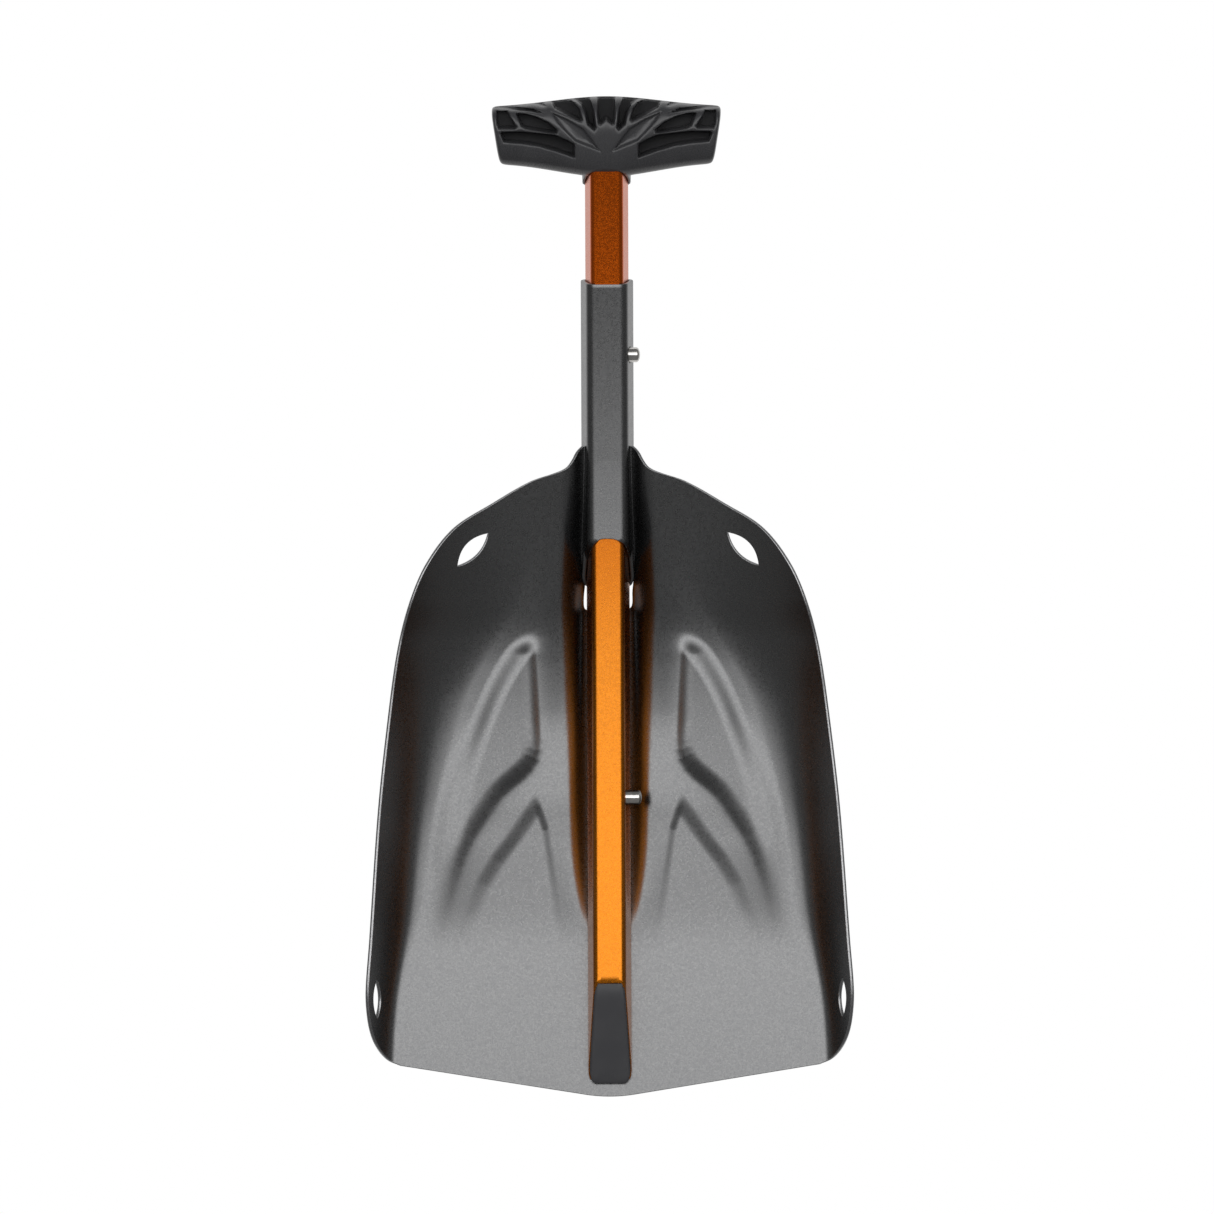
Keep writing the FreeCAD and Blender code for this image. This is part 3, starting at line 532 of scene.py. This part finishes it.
def blade_domain():
    """The front surface's points (x, z), its triangles, and its edge loops, material on their left."""
    loops = [trimmed(blade_outline()), window_loop()]
    for side in (1, -1):
        holes = [leaf(**UPPER_HOLE), leaf(**LOWER_HOLE)]
        loops += [hole if side == 1 else hole[::-1] * [-1, 1] for hole in holes]
    points = lattice()
    keep = inside_loop(loops[0].tolist(), *points.T) < -0.6
    for hole in loops[1:]:
        close = np.abs(points - hole.mean(axis=0)).max(axis=1) < 30
        apart = np.full(len(points), 99.0)
        apart[close] = inside_loop(hole.tolist(), *points[close].T)
        keep &= apart > 0.5
    points = points[keep]
    places, edges, start = [], [], 0
    for loop in loops:
        places.append(loop)
        edges += [(start + k, start + (k + 1) % len(loop)) for k in range(len(loop))]
        start += len(loop)
    given = np.concatenate([*places, points])
    made = delaunay_2d_cdt([Vector(p) for p in given], edges, [], 0, 1e-5)
    flat = np.array([tuple(p) for p in made[0]])
    new_index = np.full(len(given), -1)
    for k, olds in enumerate(made[3]):
        new_index[olds] = k
    triangles = np.array(made[2])
    at_edge = np.zeros(len(flat), bool)
    at_edge[new_index[:start]] = True
    unsure = at_edge[triangles].all(axis=1)
    middles = flat[triangles[unsure]].mean(axis=1)
    good = inside_loop(loops[0].tolist(), *middles.T) < 0
    for hole in loops[1:]:
        good &= inside_loop(hole.tolist(), *middles.T) > 0
    keep = ~unsure
    keep[unsure] = good
    counts = np.cumsum([0] + [len(loop) for loop in loops])
    rims = [new_index[a:b] for a, b in zip(counts, counts[1:])]
    return flat, triangles[keep], rims


def make_blade():
    """The pressed sheet: front, back and rounded cut edges."""
    flat, triangles, rims = blade_domain()
    x, z = flat.T
    thickness = SHEET - SHEET_THINNER * smooth((z - NECK_RING_Z) / 8)
    front, normal = sheet_point(x, z), sheet_normal(x, z)
    back = front + normal * thickness[:, None]
    points, normals = [front, back], [-normal, normal]
    faces = [*triangles.tolist(), *(triangles[:, ::-1] + len(flat)).tolist()]
    total = 2 * len(flat)
    sheet_faces = len(faces)
    profile = [(0.06, 0.45), (0.22, 0.86), (0.5, 1.0), (0.78, 0.86), (0.94, 0.45)]
    for rim in rims:
        tangent = np.roll(front[rim], -1, axis=0) - np.roll(front[rim], 1, axis=0)
        outward = np.cross(normal[rim], tangent)
        outward /= np.linalg.norm(outward, axis=1)[:, None]
        rows = [rim]
        for share, bulge in profile:
            points.append(front[rim] * (1 - share) + back[rim] * share + outward * bulge * RIM_BULGE)
            facing = outward * bulge + normal[rim] * (share - 0.5) * 1.6
            normals.append(facing / np.linalg.norm(facing, axis=1)[:, None])
            rows.append(np.arange(total, total + len(rim)))
            total += len(rim)
        rows.append(rim + len(flat))
        for upper, lower in zip(rows, rows[1:]):
            quads = np.stack([np.roll(upper, -1), upper, lower, np.roll(lower, -1)], axis=1)
            faces += quads.tolist()
    blade = make_piece("blade_sheet", np.concatenate(points), faces, np.concatenate(normals))
    edge = np.zeros(len(faces), int)
    edge[sheet_faces:] = 1
    return blade, edge


def make_neck():
    """Closed tube at the top of the blade, with the hole that the upper pin latches in."""
    ring_low, ring_back, high = (arc_length(z) for z in (NECK_RING_Z, NECK_RING_BACK_Z, NECK_TOP_Z))
    outer, r = GAP + SHEET, 0.5
    profile = [(outer - NECK_INSET * (1 - smooth(share / 0.25)), share) for share in np.linspace(0, 1, 70)]
    profile += [(outer - 0.15, 1.0035), (outer - r, 1.005), (GAP + r, 1.005), (GAP + 0.15, 1.0035)]
    profile += [(GAP, share) for share in np.linspace(1, 0, 30)]
    profile += [(GAP + 0.15, -0.0035), (GAP + r, -0.005), (outer - r, -0.005), (outer - 0.2, -0.0035)]
    rings = []
    for offset, share in profile:
        x, depth = section_loop(offset).T
        back = smooth((depth + SHAFT_DEPTH + outer) / (2 * (SHAFT_DEPTH + outer)))
        low = ring_low + (ring_back - ring_low) * back
        inwards = r if share < 0.5 else -r
        rings.append(on_arc(x, depth, low + (high - low) * share + inwards))
    neck = make_piece("neck_tube", np.concatenate(rings), ring_faces(len(rings), len(rings[0])), sharp=40)
    hole = [(0, 0), (NECK_HOLE_R, 0), (NECK_HOLE_R, 30), (0, 30)]
    cut_away(neck, lathe("neck_hole_tool", hole, BUTTON_Z["upper"]), 40)
    return neck


# ---- shaft ----

def prism(name, loop, half):
    """Solid of a loop of (y, z) points, half that wide to each side."""
    count = len(loop)
    points = [(x, y, z) for x in (-half, half) for y, z in loop]
    sides = [[k, (k + 1) % count, count + (k + 1) % count, count + k] for k in range(count)]
    return make_piece(name, points, [*sides, list(range(count))[::-1], list(range(count, 2 * count))])


def make_shaft():
    """Curved tube with a slanted lower end and a hole for each pin."""
    low, high = arc_length(-10), SHAFT_TOP_S
    profile = [(0, s) for s in np.linspace(low, high, 180)]
    profile += [(-SHAFT_WALL, s) for s in np.linspace(high, low, 90)]
    rings = [on_arc(*section_loop(offset).T, s) for offset, s in profile]
    shaft = make_piece("shaft_sweep", np.concatenate(rings), ring_faces(len(rings), len(rings[0])))
    front = np.array([y_at(-SHAFT_DEPTH, SLANT_FRONT_Z), SLANT_FRONT_Z])
    back = np.array([y_at(SHAFT_DEPTH, SLANT_BACK_Z), SLANT_BACK_Z])
    down = (back - front) / np.linalg.norm(back - front)
    slant_low, slant_high = back + down * 60, front - down * 60
    slant = [slant_low, slant_high, slant_high + (-60, -60), slant_low + (-60, -60)]
    cut_away(shaft, prism("slant_tool", slant, 30), 35)
    level = [(-50, -40), (80, -40), (80, SHAFT_BOTTOM_Z), (-50, SHAFT_BOTTOM_Z)]
    cut_away(shaft, prism("foot_tool", level, 30), 35)
    for z in BUTTON_Z.values():
        hole = [(0, 5), (BUTTON_HOLE_R, 5), (BUTTON_HOLE_R, 20), (0, 20)]
        cut_away(shaft, lathe("shaft_hole_tool", hole, z), 35)
    return shaft


# ---- end cap ----

def cap_field(x, y, z):
    """Ramp that closes the shaft's slanted end, with a hollow plug inside the shaft."""
    depth = np.hypot(y - CENTRE_Y, z - ARC_Z) - ARC_R
    section = shaft_field(x, depth)
    front_y, back_y = y_at(-SHAFT_DEPTH, SLANT_FRONT_Z), y_at(SHAFT_DEPTH, SLANT_BACK_Z)
    run = math.hypot(back_y - front_y, SLANT_FRONT_Z - SLANT_BACK_Z)
    down_y, down_z = (back_y - front_y) / run, (SLANT_BACK_Z - SLANT_FRONT_Z) / run
    ramp = (y - front_y) * down_z - (z - SLANT_FRONT_Z) * down_y
    head = deeper(deeper(section, ramp - CAP_HEAD, 1.5), CAP_BOTTOM_Z - z, CAP_BOTTOM_R)
    head = np.maximum(head, FIT - ramp)
    plug = deeper(section + SHAFT_WALL + FIT, z - CAP_TOP_Z, 1.0)
    plug = np.maximum(np.maximum(plug, SHAFT_BOTTOM_Z - 0.5 - z), ramp - 0.4)
    core = np.maximum(section + SHAFT_WALL + CAP_SKIN, CAP_CORE_Z - z)
    core = np.maximum(core, ramp + CAP_SKIN)
    toe = deeper(deeper(section, CAP_BOTTOM_Z - z, CAP_BOTTOM_R), z - SHAFT_BOTTOM_Z + FIT, 0.2)
    toe = np.maximum(toe, ramp - 0.4)
    return np.minimum(np.minimum(head, np.maximum(plug, -core)), toe)


def make_end_cap():
    """The moulded cap, from its field."""
    points, quads, normals = surface_of(cap_field, (-11.4, -12.5, 3.0), (11.4, 12.0, 73.0), 0.5)
    return make_piece("end_cap_moulding", points, quads, normals)


# ---- grip ----

# Pockets and scoops in the grip's front, as (x, s) loops of its right half.
POCKETS = [
    [(53.6, 250.0), (48.3, 250.1), (43.6, 243.0), (44.6, 242.1), (52.4, 242.1), (53.4, 244.5)],
    [(44.2, 249.3), (39.3, 249.2), (33.7, 247.8), (28.0, 245.2), (23.7, 241.7), (24.1, 240.0),
     (26.4, 240.0), (39.3, 242.2), (41.4, 243.4)],
    [(51.7, 239.7), (51.0, 240.5), (41.4, 240.8), (33.2, 240.1), (24.7, 239.2), (19.0, 236.8), (15.4, 234.8),
     (15.4, 228.0), (25.1, 231.5), (33.2, 233.8), (41.4, 235.0), (50.1, 235.7)],
    [(53.6, 251.8), (43.4, 251.6), (35.3, 251.2), (30.6, 249.4), (37.1, 250.3), (46.5, 250.7), (53.6, 251.3)],
    [(34.5, 253.1), (31.3, 253.7), (29.6, 252.5), (31.3, 252.3)],
    [(27.0, 254.5), (19.0, 255.0), (15.4, 254.0), (12.9, 251.6), (11.5, 246.7), (12.3, 245.7), (19.0, 248.7),
     (25.1, 251.5)],
    [(17.1, 256.0), (13.8, 257.5), (9.7, 257.5), (7.3, 254.5), (6.0, 251.0), (5.0, 242.7), (6.0, 241.5),
     (9.2, 244.4), (10.3, 249.4), (12.2, 253.4)],
]
MIDDLE_POCKET = [(4.2, 258.0), (4.4, 248.7), (3.8, 244.6), (2.8, 244.4), (0.0, 246.7), (-2.8, 244.4),
                 (-3.8, 244.6), (-4.4, 248.7), (-4.2, 258.0)]
SCOOP = [(27.0, 250.2), (19.0, 247.0), (10.9, 242.3), (6.8, 237.0), (2.8, 231.3), (15.1, 236.3),
         (19.0, 240.1), (23.9, 245.3)]


def pockets(x, s):
    """Signed distance from the outlines of the pockets, negative inside them."""
    apart = inside_loop(MIDDLE_POCKET, x, s)
    for loop in POCKETS:
        apart = np.minimum(apart, inside_loop(loop, np.abs(x), s))
    return apart


def grip_field(x, depth, s):
    """T-grip: a rounded bar with ribbed pockets in its front, a short collar, and the shaft's bore."""
    side = np.abs(x)
    top = GRIP_TOP_S - GRIP_TOP_DROP * smooth(side / 54)
    low = GRIP_LOW_S + GRIP_LOW_RISE * smooth(side / 50)
    ease = smooth(side / 57)
    front, back = GRIP_FRONT + 3.5 * ease, GRIP_BACK - 1.5 * ease
    half_depth, half_s = (back - front) / 2, (top - low) / 2
    a = np.abs(depth - (front + back) / 2) / half_depth
    b = np.abs(s - (top + low) / 2) / half_s
    power = GRIP_SQUARENESS
    r = np.maximum((a**power + b**power) ** (1 / power), 0.05)
    slope = np.hypot((a / r) ** (power - 1) / half_depth, (b / r) ** (power - 1) / half_s)
    skin = (r - 1) / slope
    end = (side - GRIP_END_X + GRIP_END_LEAN * (top - s)) / math.hypot(1, GRIP_END_LEAN)
    bar = deeper(skin, end, 2.4)

    cut = np.full(np.shape(x), 9.0)
    near = (depth < 1) & (skin > -10)
    floor = POCKET_SHALLOW + (POCKET_DEEP - POCKET_SHALLOW) * smooth(-depth[near] / 9)
    wells = pockets(x[near], s[near])
    wells = deeper(wells - 0.08 * skin[near], -(skin[near] + floor), 1.2)
    scoop = deeper(inside_loop(SCOOP, side[near], s[near]), -(skin[near] + SCOOP_DEEP), 1.6)
    cut[near] = np.minimum(wells, scoop)
    bar = deeper(bar, -cut, 0.7)

    rising = COLLAR_LOW_S + 0.5 * (SHAFT_DEPTH - depth) - s
    collar = np.maximum(shaft_field(x, depth) - COLLAR_WALL, rising)
    solid = nearer(bar, deeper(collar, s - 232.0, 0.5), 1.2)
    arc_depth = np.hypot(ARC_R + depth, s - GRIP_MIDDLE_S) - ARC_R
    bore = np.maximum(shaft_field(x, arc_depth) - 0.06, s - SHAFT_TOP_S - 0.2)
    notch = np.maximum(np.maximum(side - 8.0, s - GRIP_LOW_S - 1.7), depth)
    return deeper(deeper(solid, -bore, 0.4), -notch, 0.8)


def make_grip():
    """The grip set on the arc, with how far each point is down in a pocket, which its material paints near
    black as shade.
    """
    low, high = (-57.2, -15.7, 208.0), (57.2, 14.7, 257.0)
    (x, depth, s), quads, normals = (m.T for m in surface_of(grip_field, low, high, 0.65))
    angle = GRIP_MIDDLE_S / ARC_R
    c, d = math.cos(angle), math.sin(angle)
    up, radius = s - GRIP_MIDDLE_S, ARC_R + depth
    points = np.stack([x, CENTRE_Y + radius * c - up * d, ARC_Z + radius * d + up * c], axis=1)
    nx, nd, ns = normals
    facing = np.stack([nx, nd * c - ns * d, nd * d + ns * c], axis=1)
    grip = make_piece("grip_moulding", points, quads.T, facing)
    # Painted shade: a mask of the pockets' floors, which the grip's material colours near black.
    pocket_shade = smooth(-pockets(x, s) / 0.9) * (depth < 0) * smooth(0.5 - nd)
    shade = grip.data.attributes.new("pocket_shade", "FLOAT", "POINT")
    shade.data.foreach_set("value", pocket_shade)
    return grip


# ---- snap buttons ----

def make_pin(name, z):
    """Steel pin: rivet stem, flange, shank and rounded end."""
    profile = [(0, 3.4), (1.3, 3.4), (1.4, 3.5), (1.4, 4.6), (4.2, 4.6), (4.4, 4.8), (4.4, 5.8), (4.2, 6.0),
               (3.7, 6.0), (3.7, 14.2), (3.62, 14.6), (3.35, 15.05), (2.9, 15.42), (2.3, 15.72), (1.6, 15.93),
               (0.8, 16.06), (0, 16.1)]
    return lathe(name, profile, z, sharp=50)


def make_leaf(name, z):
    """V of spring strip under a pin: one leg carries the pin, the other bears on the shaft's far wall."""
    length, bend, near, far, thick, width = 40.0, 2.2, 4.3, -6.0, 0.6, 6.5
    turn = np.linspace(0, -math.pi, 13)[:, None]
    bottom = np.array([far + bend, -length]) + bend * np.concatenate([np.cos(turn), np.sin(turn)], axis=1)
    line = np.concatenate([[(near, 6.0), (near, -8.0)], bottom, [(far, 6.0)]])
    ahead = np.gradient(line, axis=0)
    side = np.stack([ahead[:, 1], -ahead[:, 0]], axis=1) / np.linalg.norm(ahead, axis=1)[:, None]
    base = on_arc(0.0, BUTTON_DEPTH, arc_length(z))
    angle = arc_length(z) / ARC_R
    rings = []
    for along_it, across in ((1, 1), (1, -1), (-1, -1), (-1, 1)):
        place = line + side * along_it * thick / 2
        y, up = across * width / 2, place[:, 1]
        rings.append(np.stack([place[:, 0], base[1] + y * math.cos(angle) - up * math.sin(angle),
                               base[2] + y * math.sin(angle) + up * math.cos(angle)], axis=1))
    points = np.stack(rings, axis=1).reshape(-1, 3)
    faces = ring_faces(len(line), 4)[:-4].tolist()
    last = 4 * (len(line) - 1)
    faces += [[3, 2, 1, 0], [last, last + 1, last + 2, last + 3]]
    return make_piece(name, points, faces, sharp=40)


# ---- materials ----

class Surface:
    """A procedural material round one Principled shader. Its coordinates are the object's own, in metres."""

    def __init__(self, name, **sockets):
        self.material = bpy.data.materials.new(name)
        self.material.use_nodes = True
        self.tree = self.material.node_tree
        self.shader = self.tree.nodes["Principled BSDF"]
        for socket, value in sockets.items():
            self.shader.inputs[socket.replace("_", " ")].default_value = value
        self.place = self.tree.nodes.new("ShaderNodeTexCoord").outputs["Object"]

    def node(self, kind, settings=None, **inputs):
        made = self.tree.nodes.new(kind)
        for key, value in (settings or {}).items():
            setattr(made, key, value)
        for key, value in inputs.items():
            numbered = key[0] == "i" and key[1:].isdigit()
            socket = made.inputs[int(key[1:]) if numbered else key]
            if isinstance(value, bpy.types.NodeSocket):
                self.tree.links.new(value, socket)
            else:
                socket.default_value = value
        return made

    def noise(self, scale, detail=2.0, rough=0.5):
        inputs = dict(Vector=self.place, Scale=scale, Detail=detail, Roughness=rough)
        return self.node("ShaderNodeTexNoise", **inputs).outputs[0]

    def cells(self, scale):
        return self.node("ShaderNodeTexVoronoi", Vector=self.place, Scale=scale).outputs["Color"]

    def span(self, value, low, high, to_low, to_high):
        settings = {"interpolation_type": "SMOOTHSTEP"}
        made = self.node("ShaderNodeMapRange", settings, Value=value)
        for socket, number in zip(("From Min", "From Max", "To Min", "To Max"), (low, high, to_low, to_high)):
            made.inputs[socket].default_value = number
        return made.outputs[0]

    def mix(self, factor, first, second):
        made = self.node("ShaderNodeMix", {"data_type": "RGBA"}, i0=factor, i6=first, i7=second)
        return made.outputs[2]

    def bump(self, height, strength, distance, before=None):
        made = self.node("ShaderNodeBump", Height=height, Strength=strength, Distance=distance)
        if before is not None:
            self.tree.links.new(before, made.inputs["Normal"])
        return made.outputs[0]

    def drive(self, **links):
        for socket, value in links.items():
            self.tree.links.new(value, self.shader.inputs[socket.replace("_", " ")])
        return self.material


def blasted_metal(name, dark, light, roughness):
    """Bead-blasted, anodised aluminium: fine grain, faintly mottled."""
    s = Surface(name, Metallic=1.0)
    grain, fine, cloud = s.noise(1500, 3.0, 0.6), s.noise(4200, 1.0), s.noise(28, 3.0)
    colour = s.mix(s.span(grain, 0.3, 0.7, 0, 1), (*dark, 1), (*light, 1))
    rough = s.span(s.noise(700, 2.0), 0.3, 0.7, roughness - 0.03, roughness + 0.03)
    normal = s.bump(grain, 0.25, 0.00006, s.bump(fine, 0.2, 0.00003, s.bump(cloud, 0.04, 0.0002)))
    return s.drive(Base_Color=colour, Roughness=rough, Normal=normal)


def orange_anodised():
    """Anodised tube with a sparkling grain under a thin clear seal, with painted shade: darker and redder
    towards its top.
    """
    s = Surface("orange_anodised", Metallic=1.0, Coat_Weight=0.2, Coat_Roughness=0.12)
    grain, fleck = s.noise(2600, 2.0, 0.6), s.cells(1500)
    height = s.node("ShaderNodeSeparateXYZ", Vector=s.place).outputs["Z"]
    amber = s.mix(s.span(grain, 0.32, 0.68, 0, 1), (0.46, 0.130, 0.004, 1), (0.56, 0.180, 0.008, 1))
    # Painted shade: the colour turns darker and redder up the tube, standing in for the shade on its upper
    # part.
    shaded_top_red = s.mix(s.span(grain, 0.32, 0.68, 0, 1), (0.66, 0.105, 0.003, 1), (0.78, 0.145, 0.006, 1))
    colour = s.mix(s.span(height, 0.20, 0.42, 0, 1), amber, shaded_top_red)
    tone = s.node("ShaderNodeRGBToBW", Color=fleck).outputs[0]
    rough = s.span(tone, 0.3, 0.8, 0.22, 0.30)
    draw = s.node("ShaderNodeMapping", Vector=s.place)
    draw.inputs["Scale"].default_value = (3000, 3000, 12)
    lines = s.node("ShaderNodeTexNoise", Vector=draw.outputs[0], Scale=1.0, Detail=2.0).outputs[0]
    normal = s.bump(tone, 0.10, 0.00004, s.bump(lines, 0.05, 0.00003))
    return s.drive(Base_Color=colour, Roughness=rough, Normal=normal)


def moulded_plastic(name, dark, light, roughness, texture):
    """Moulded plastic with a spark-eroded texture."""
    s = Surface(name, Metallic=0.0)
    grain, cloud = s.noise(2400, 3.0, 0.6), s.noise(60, 2.0)
    colour = s.mix(s.span(cloud, 0.35, 0.65, 0, 1), (*dark, 1), (*light, 1))
    rough = s.span(grain, 0.3, 0.7, roughness - 0.04, roughness + 0.05)
    normal = s.bump(grain, texture, 0.00006, s.bump(cloud, 0.02, 0.0004))
    return s.drive(Base_Color=colour, Roughness=rough, Normal=normal)


def grip_plastic():
    """Semi-gloss ribs over duller pockets, painted near black as shade down in them."""
    s = Surface("grip_plastic", Metallic=0.0)
    grain, cloud = s.noise(2400, 3.0, 0.6), s.noise(60, 2.0)
    pocket_shade = s.node("ShaderNodeAttribute", {"attribute_name": "pocket_shade"}).outputs["Fac"]
    rib = s.mix(s.span(cloud, 0.35, 0.65, 0, 1), (0.046, 0.046, 0.049, 1), (0.054, 0.054, 0.057, 1))
    # Painted shade: the pockets are coloured near black for the shade down in them.
    colour = s.mix(pocket_shade, rib, (0.006, 0.006, 0.007, 1))
    rough = s.span(grain, 0.3, 0.7, 0.23, 0.31)
    duller = s.node("ShaderNodeMath", {"operation": "MULTIPLY_ADD"}, i0=pocket_shade, i1=0.5, i2=rough)
    normal = s.bump(grain, 0.12, 0.00006, s.bump(cloud, 0.02, 0.0004))
    return s.drive(Base_Color=colour, Roughness=duller.outputs[0], Normal=normal)


def turned_steel(name, colour, roughness):
    """Bright steel with fine turning marks round the X axis."""
    s = Surface(name, Metallic=1.0)
    stretch = s.node("ShaderNodeMapping", Vector=s.place)
    stretch.inputs["Scale"].default_value = (9000, 250, 250)
    rings = s.node("ShaderNodeTexNoise", Vector=stretch.outputs[0], Scale=1.0, Detail=2.0).outputs[0]
    smudge = s.noise(400, 2.0)
    tint = s.mix(s.span(smudge, 0.3, 0.7, 0, 1), (*[0.85 * c for c in colour], 1), (*colour, 1))
    rough = s.span(smudge, 0.3, 0.7, roughness - 0.04, roughness + 0.05)
    return s.drive(Base_Color=tint, Roughness=rough, Normal=s.bump(rings, 0.08, 0.00002))


def dress(piece, body, slot, *materials):
    """Gives a piece its materials and its body. Its slot argument is not used."""
    piece.data.materials.clear()
    for material in materials:
        piece.data.materials.append(material)
    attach(piece, body)


def build():
    """Every piece, with its materials, body and the CAD node that it replaces."""
    grey = blasted_metal("blade_anodised", (0.150, 0.151, 0.155), (0.190, 0.190, 0.190), 0.29)
    bare = blasted_metal("blade_cut_edge", (0.30, 0.30, 0.31), (0.40, 0.40, 0.40), 0.30)
    steel = turned_steel("pin_steel", (0.78, 0.76, 0.73), 0.16)
    spring = turned_steel("spring_steel", (0.42, 0.42, 0.44), 0.30)
    rivet = turned_steel("rivet_aluminium", (0.62, 0.62, 0.64), 0.32)
    cap_plastic = moulded_plastic("cap_plastic", (0.050, 0.050, 0.055), (0.058, 0.058, 0.062), 0.50, 0.25)

    blade, edge = make_blade()
    dress(blade, "blade", "blade_metal", grey, bare)
    blade.data.polygons.foreach_set("material_index", edge)
    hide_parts("blade")
    dress(make_neck(), "blade", "blade_metal", grey)
    cap = make_end_cap()
    dress(cap, "shaft", "cap_plastic", cap_plastic)
    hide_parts("end_cap")
    grip = make_grip()
    dress(grip, "shaft", "grip_plastic", grip_plastic())
    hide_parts("grip")
    for name, z in BUTTON_Z.items():
        pin = make_pin(f"{name}_pin", z)
        dress(pin, f"{name}_button", "button_steel", steel)
        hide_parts(f"{name}_snap_button")
        dress(make_leaf(f"{name}_leaf_spring", z), "shaft", "button_steel", spring)

    shaft = make_shaft()
    dress(shaft, "shaft", "shaft_metal", orange_anodised())
    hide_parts("shaft_tube")
    for node, material in (("grip_rivet", rivet), ("end_cap_rivet", rivet)):
        for slot in frame["nodes"][node].material_slots:
            slot.material = material


# ---- studio ----

def make_world():
    """A wide soft light above and in front, dark flanks and floor, and a white backdrop."""
    world = bpy.data.worlds.new("studio")
    scene.world = world
    world.use_nodes = True
    tree = world.node_tree
    nodes, links = tree.nodes, tree.links
    nodes.clear()
    direction = nodes.new("ShaderNodeTexCoord").outputs["Generated"]
    parts = nodes.new("ShaderNodeSeparateXYZ")
    links.new(direction, parts.inputs[0])

    def maths(kind, a, b=0.0, clamp=False):
        made = nodes.new("ShaderNodeMath")
        made.operation, made.use_clamp = kind, clamp
        for socket, value in zip(made.inputs, (a, b)):
            if isinstance(value, bpy.types.NodeSocket):
                links.new(value, socket)
            else:
                socket.default_value = value
        return made.outputs[0]

    def step(value, low, high):
        made = nodes.new("ShaderNodeMapRange")
        made.interpolation_type = "SMOOTHSTEP"
        links.new(value, made.inputs["Value"])
        made.inputs["From Min"].default_value = math.radians(low)
        made.inputs["From Max"].default_value = math.radians(high)
        return made.outputs[0]

    x, y, z = parts.outputs
    azimuth = maths("ABSOLUTE", maths("ARCTAN2", x, maths("MULTIPLY", y, -1.0)))
    elevation = maths("ARCSINE", z)
    front = maths("SUBTRACT", 1.0, step(azimuth, 42, 60))
    band = maths("MULTIPLY", step(elevation, -9, 3), maths("SUBTRACT", 1.0, step(elevation, 12, 45)))
    softbox = maths("MULTIPLY", maths("MULTIPLY", front, band), LIGHT)
    back = maths("MULTIPLY", step(azimuth, 112, 135), BACKDROP)
    glow = maths("ADD", maths("ADD", softbox, back), DARK)
    seen = nodes.new("ShaderNodeLightPath").outputs["Is Camera Ray"]
    unseen = maths("SUBTRACT", 1.0, seen)
    strength = maths("ADD", maths("MULTIPLY", glow, unseen), maths("MULTIPLY", seen, WHITE))
    background = nodes.new("ShaderNodeBackground")
    background.inputs["Color"].default_value = (1, 1, 1, 1)
    links.new(strength, background.inputs["Strength"])
    links.new(background.outputs[0], nodes.new("ShaderNodeOutputWorld").inputs[0])


def make_floor():
    """A plain white floor at the blade's tip, which the lighting leaves alone."""
    half = 6.0
    mesh = bpy.data.meshes.new("floor")
    corners = [(-half, -half, 0), (half, -half, 0), (half, half, 0), (-half, half, 0)]
    mesh.from_pydata(corners, [], [(0, 1, 2, 3)])
    floor = bpy.data.objects.new("floor", mesh)
    scene.collection.objects.link(floor)
    material = bpy.data.materials.new("floor_white")
    material.use_nodes = True
    shader = material.node_tree.nodes["Principled BSDF"]
    shader.inputs["Base Color"].default_value = (0, 0, 0, 1)
    shader.inputs["Specular IOR Level"].default_value = 0.0
    shader.inputs["Emission Color"].default_value = (1, 1, 1, 1)
    shader.inputs["Emission Strength"].default_value = WHITE
    mesh.materials.append(material)
    floor.visible_glossy = floor.visible_diffuse = floor.visible_shadow = False


def make_camera():
    """A long lens, level with the middle of the shovel, straight in front of it."""
    distance, width, side, height, roll = 4.0, 0.5949, -0.0006, 0.2403, 0.23
    camera = bpy.data.objects.new("camera", bpy.data.cameras.new("camera"))
    scene.collection.objects.link(camera)
    camera.location = (side, -distance, height)
    camera.rotation_euler = (math.pi / 2, math.radians(roll), 0)
    camera.data.lens = camera.data.sensor_width * distance / width
    camera.data.clip_end = 100
    scene.camera = camera


scene.view_settings.view_transform = "Standard"
build()
make_world()
make_floor()
make_camera()
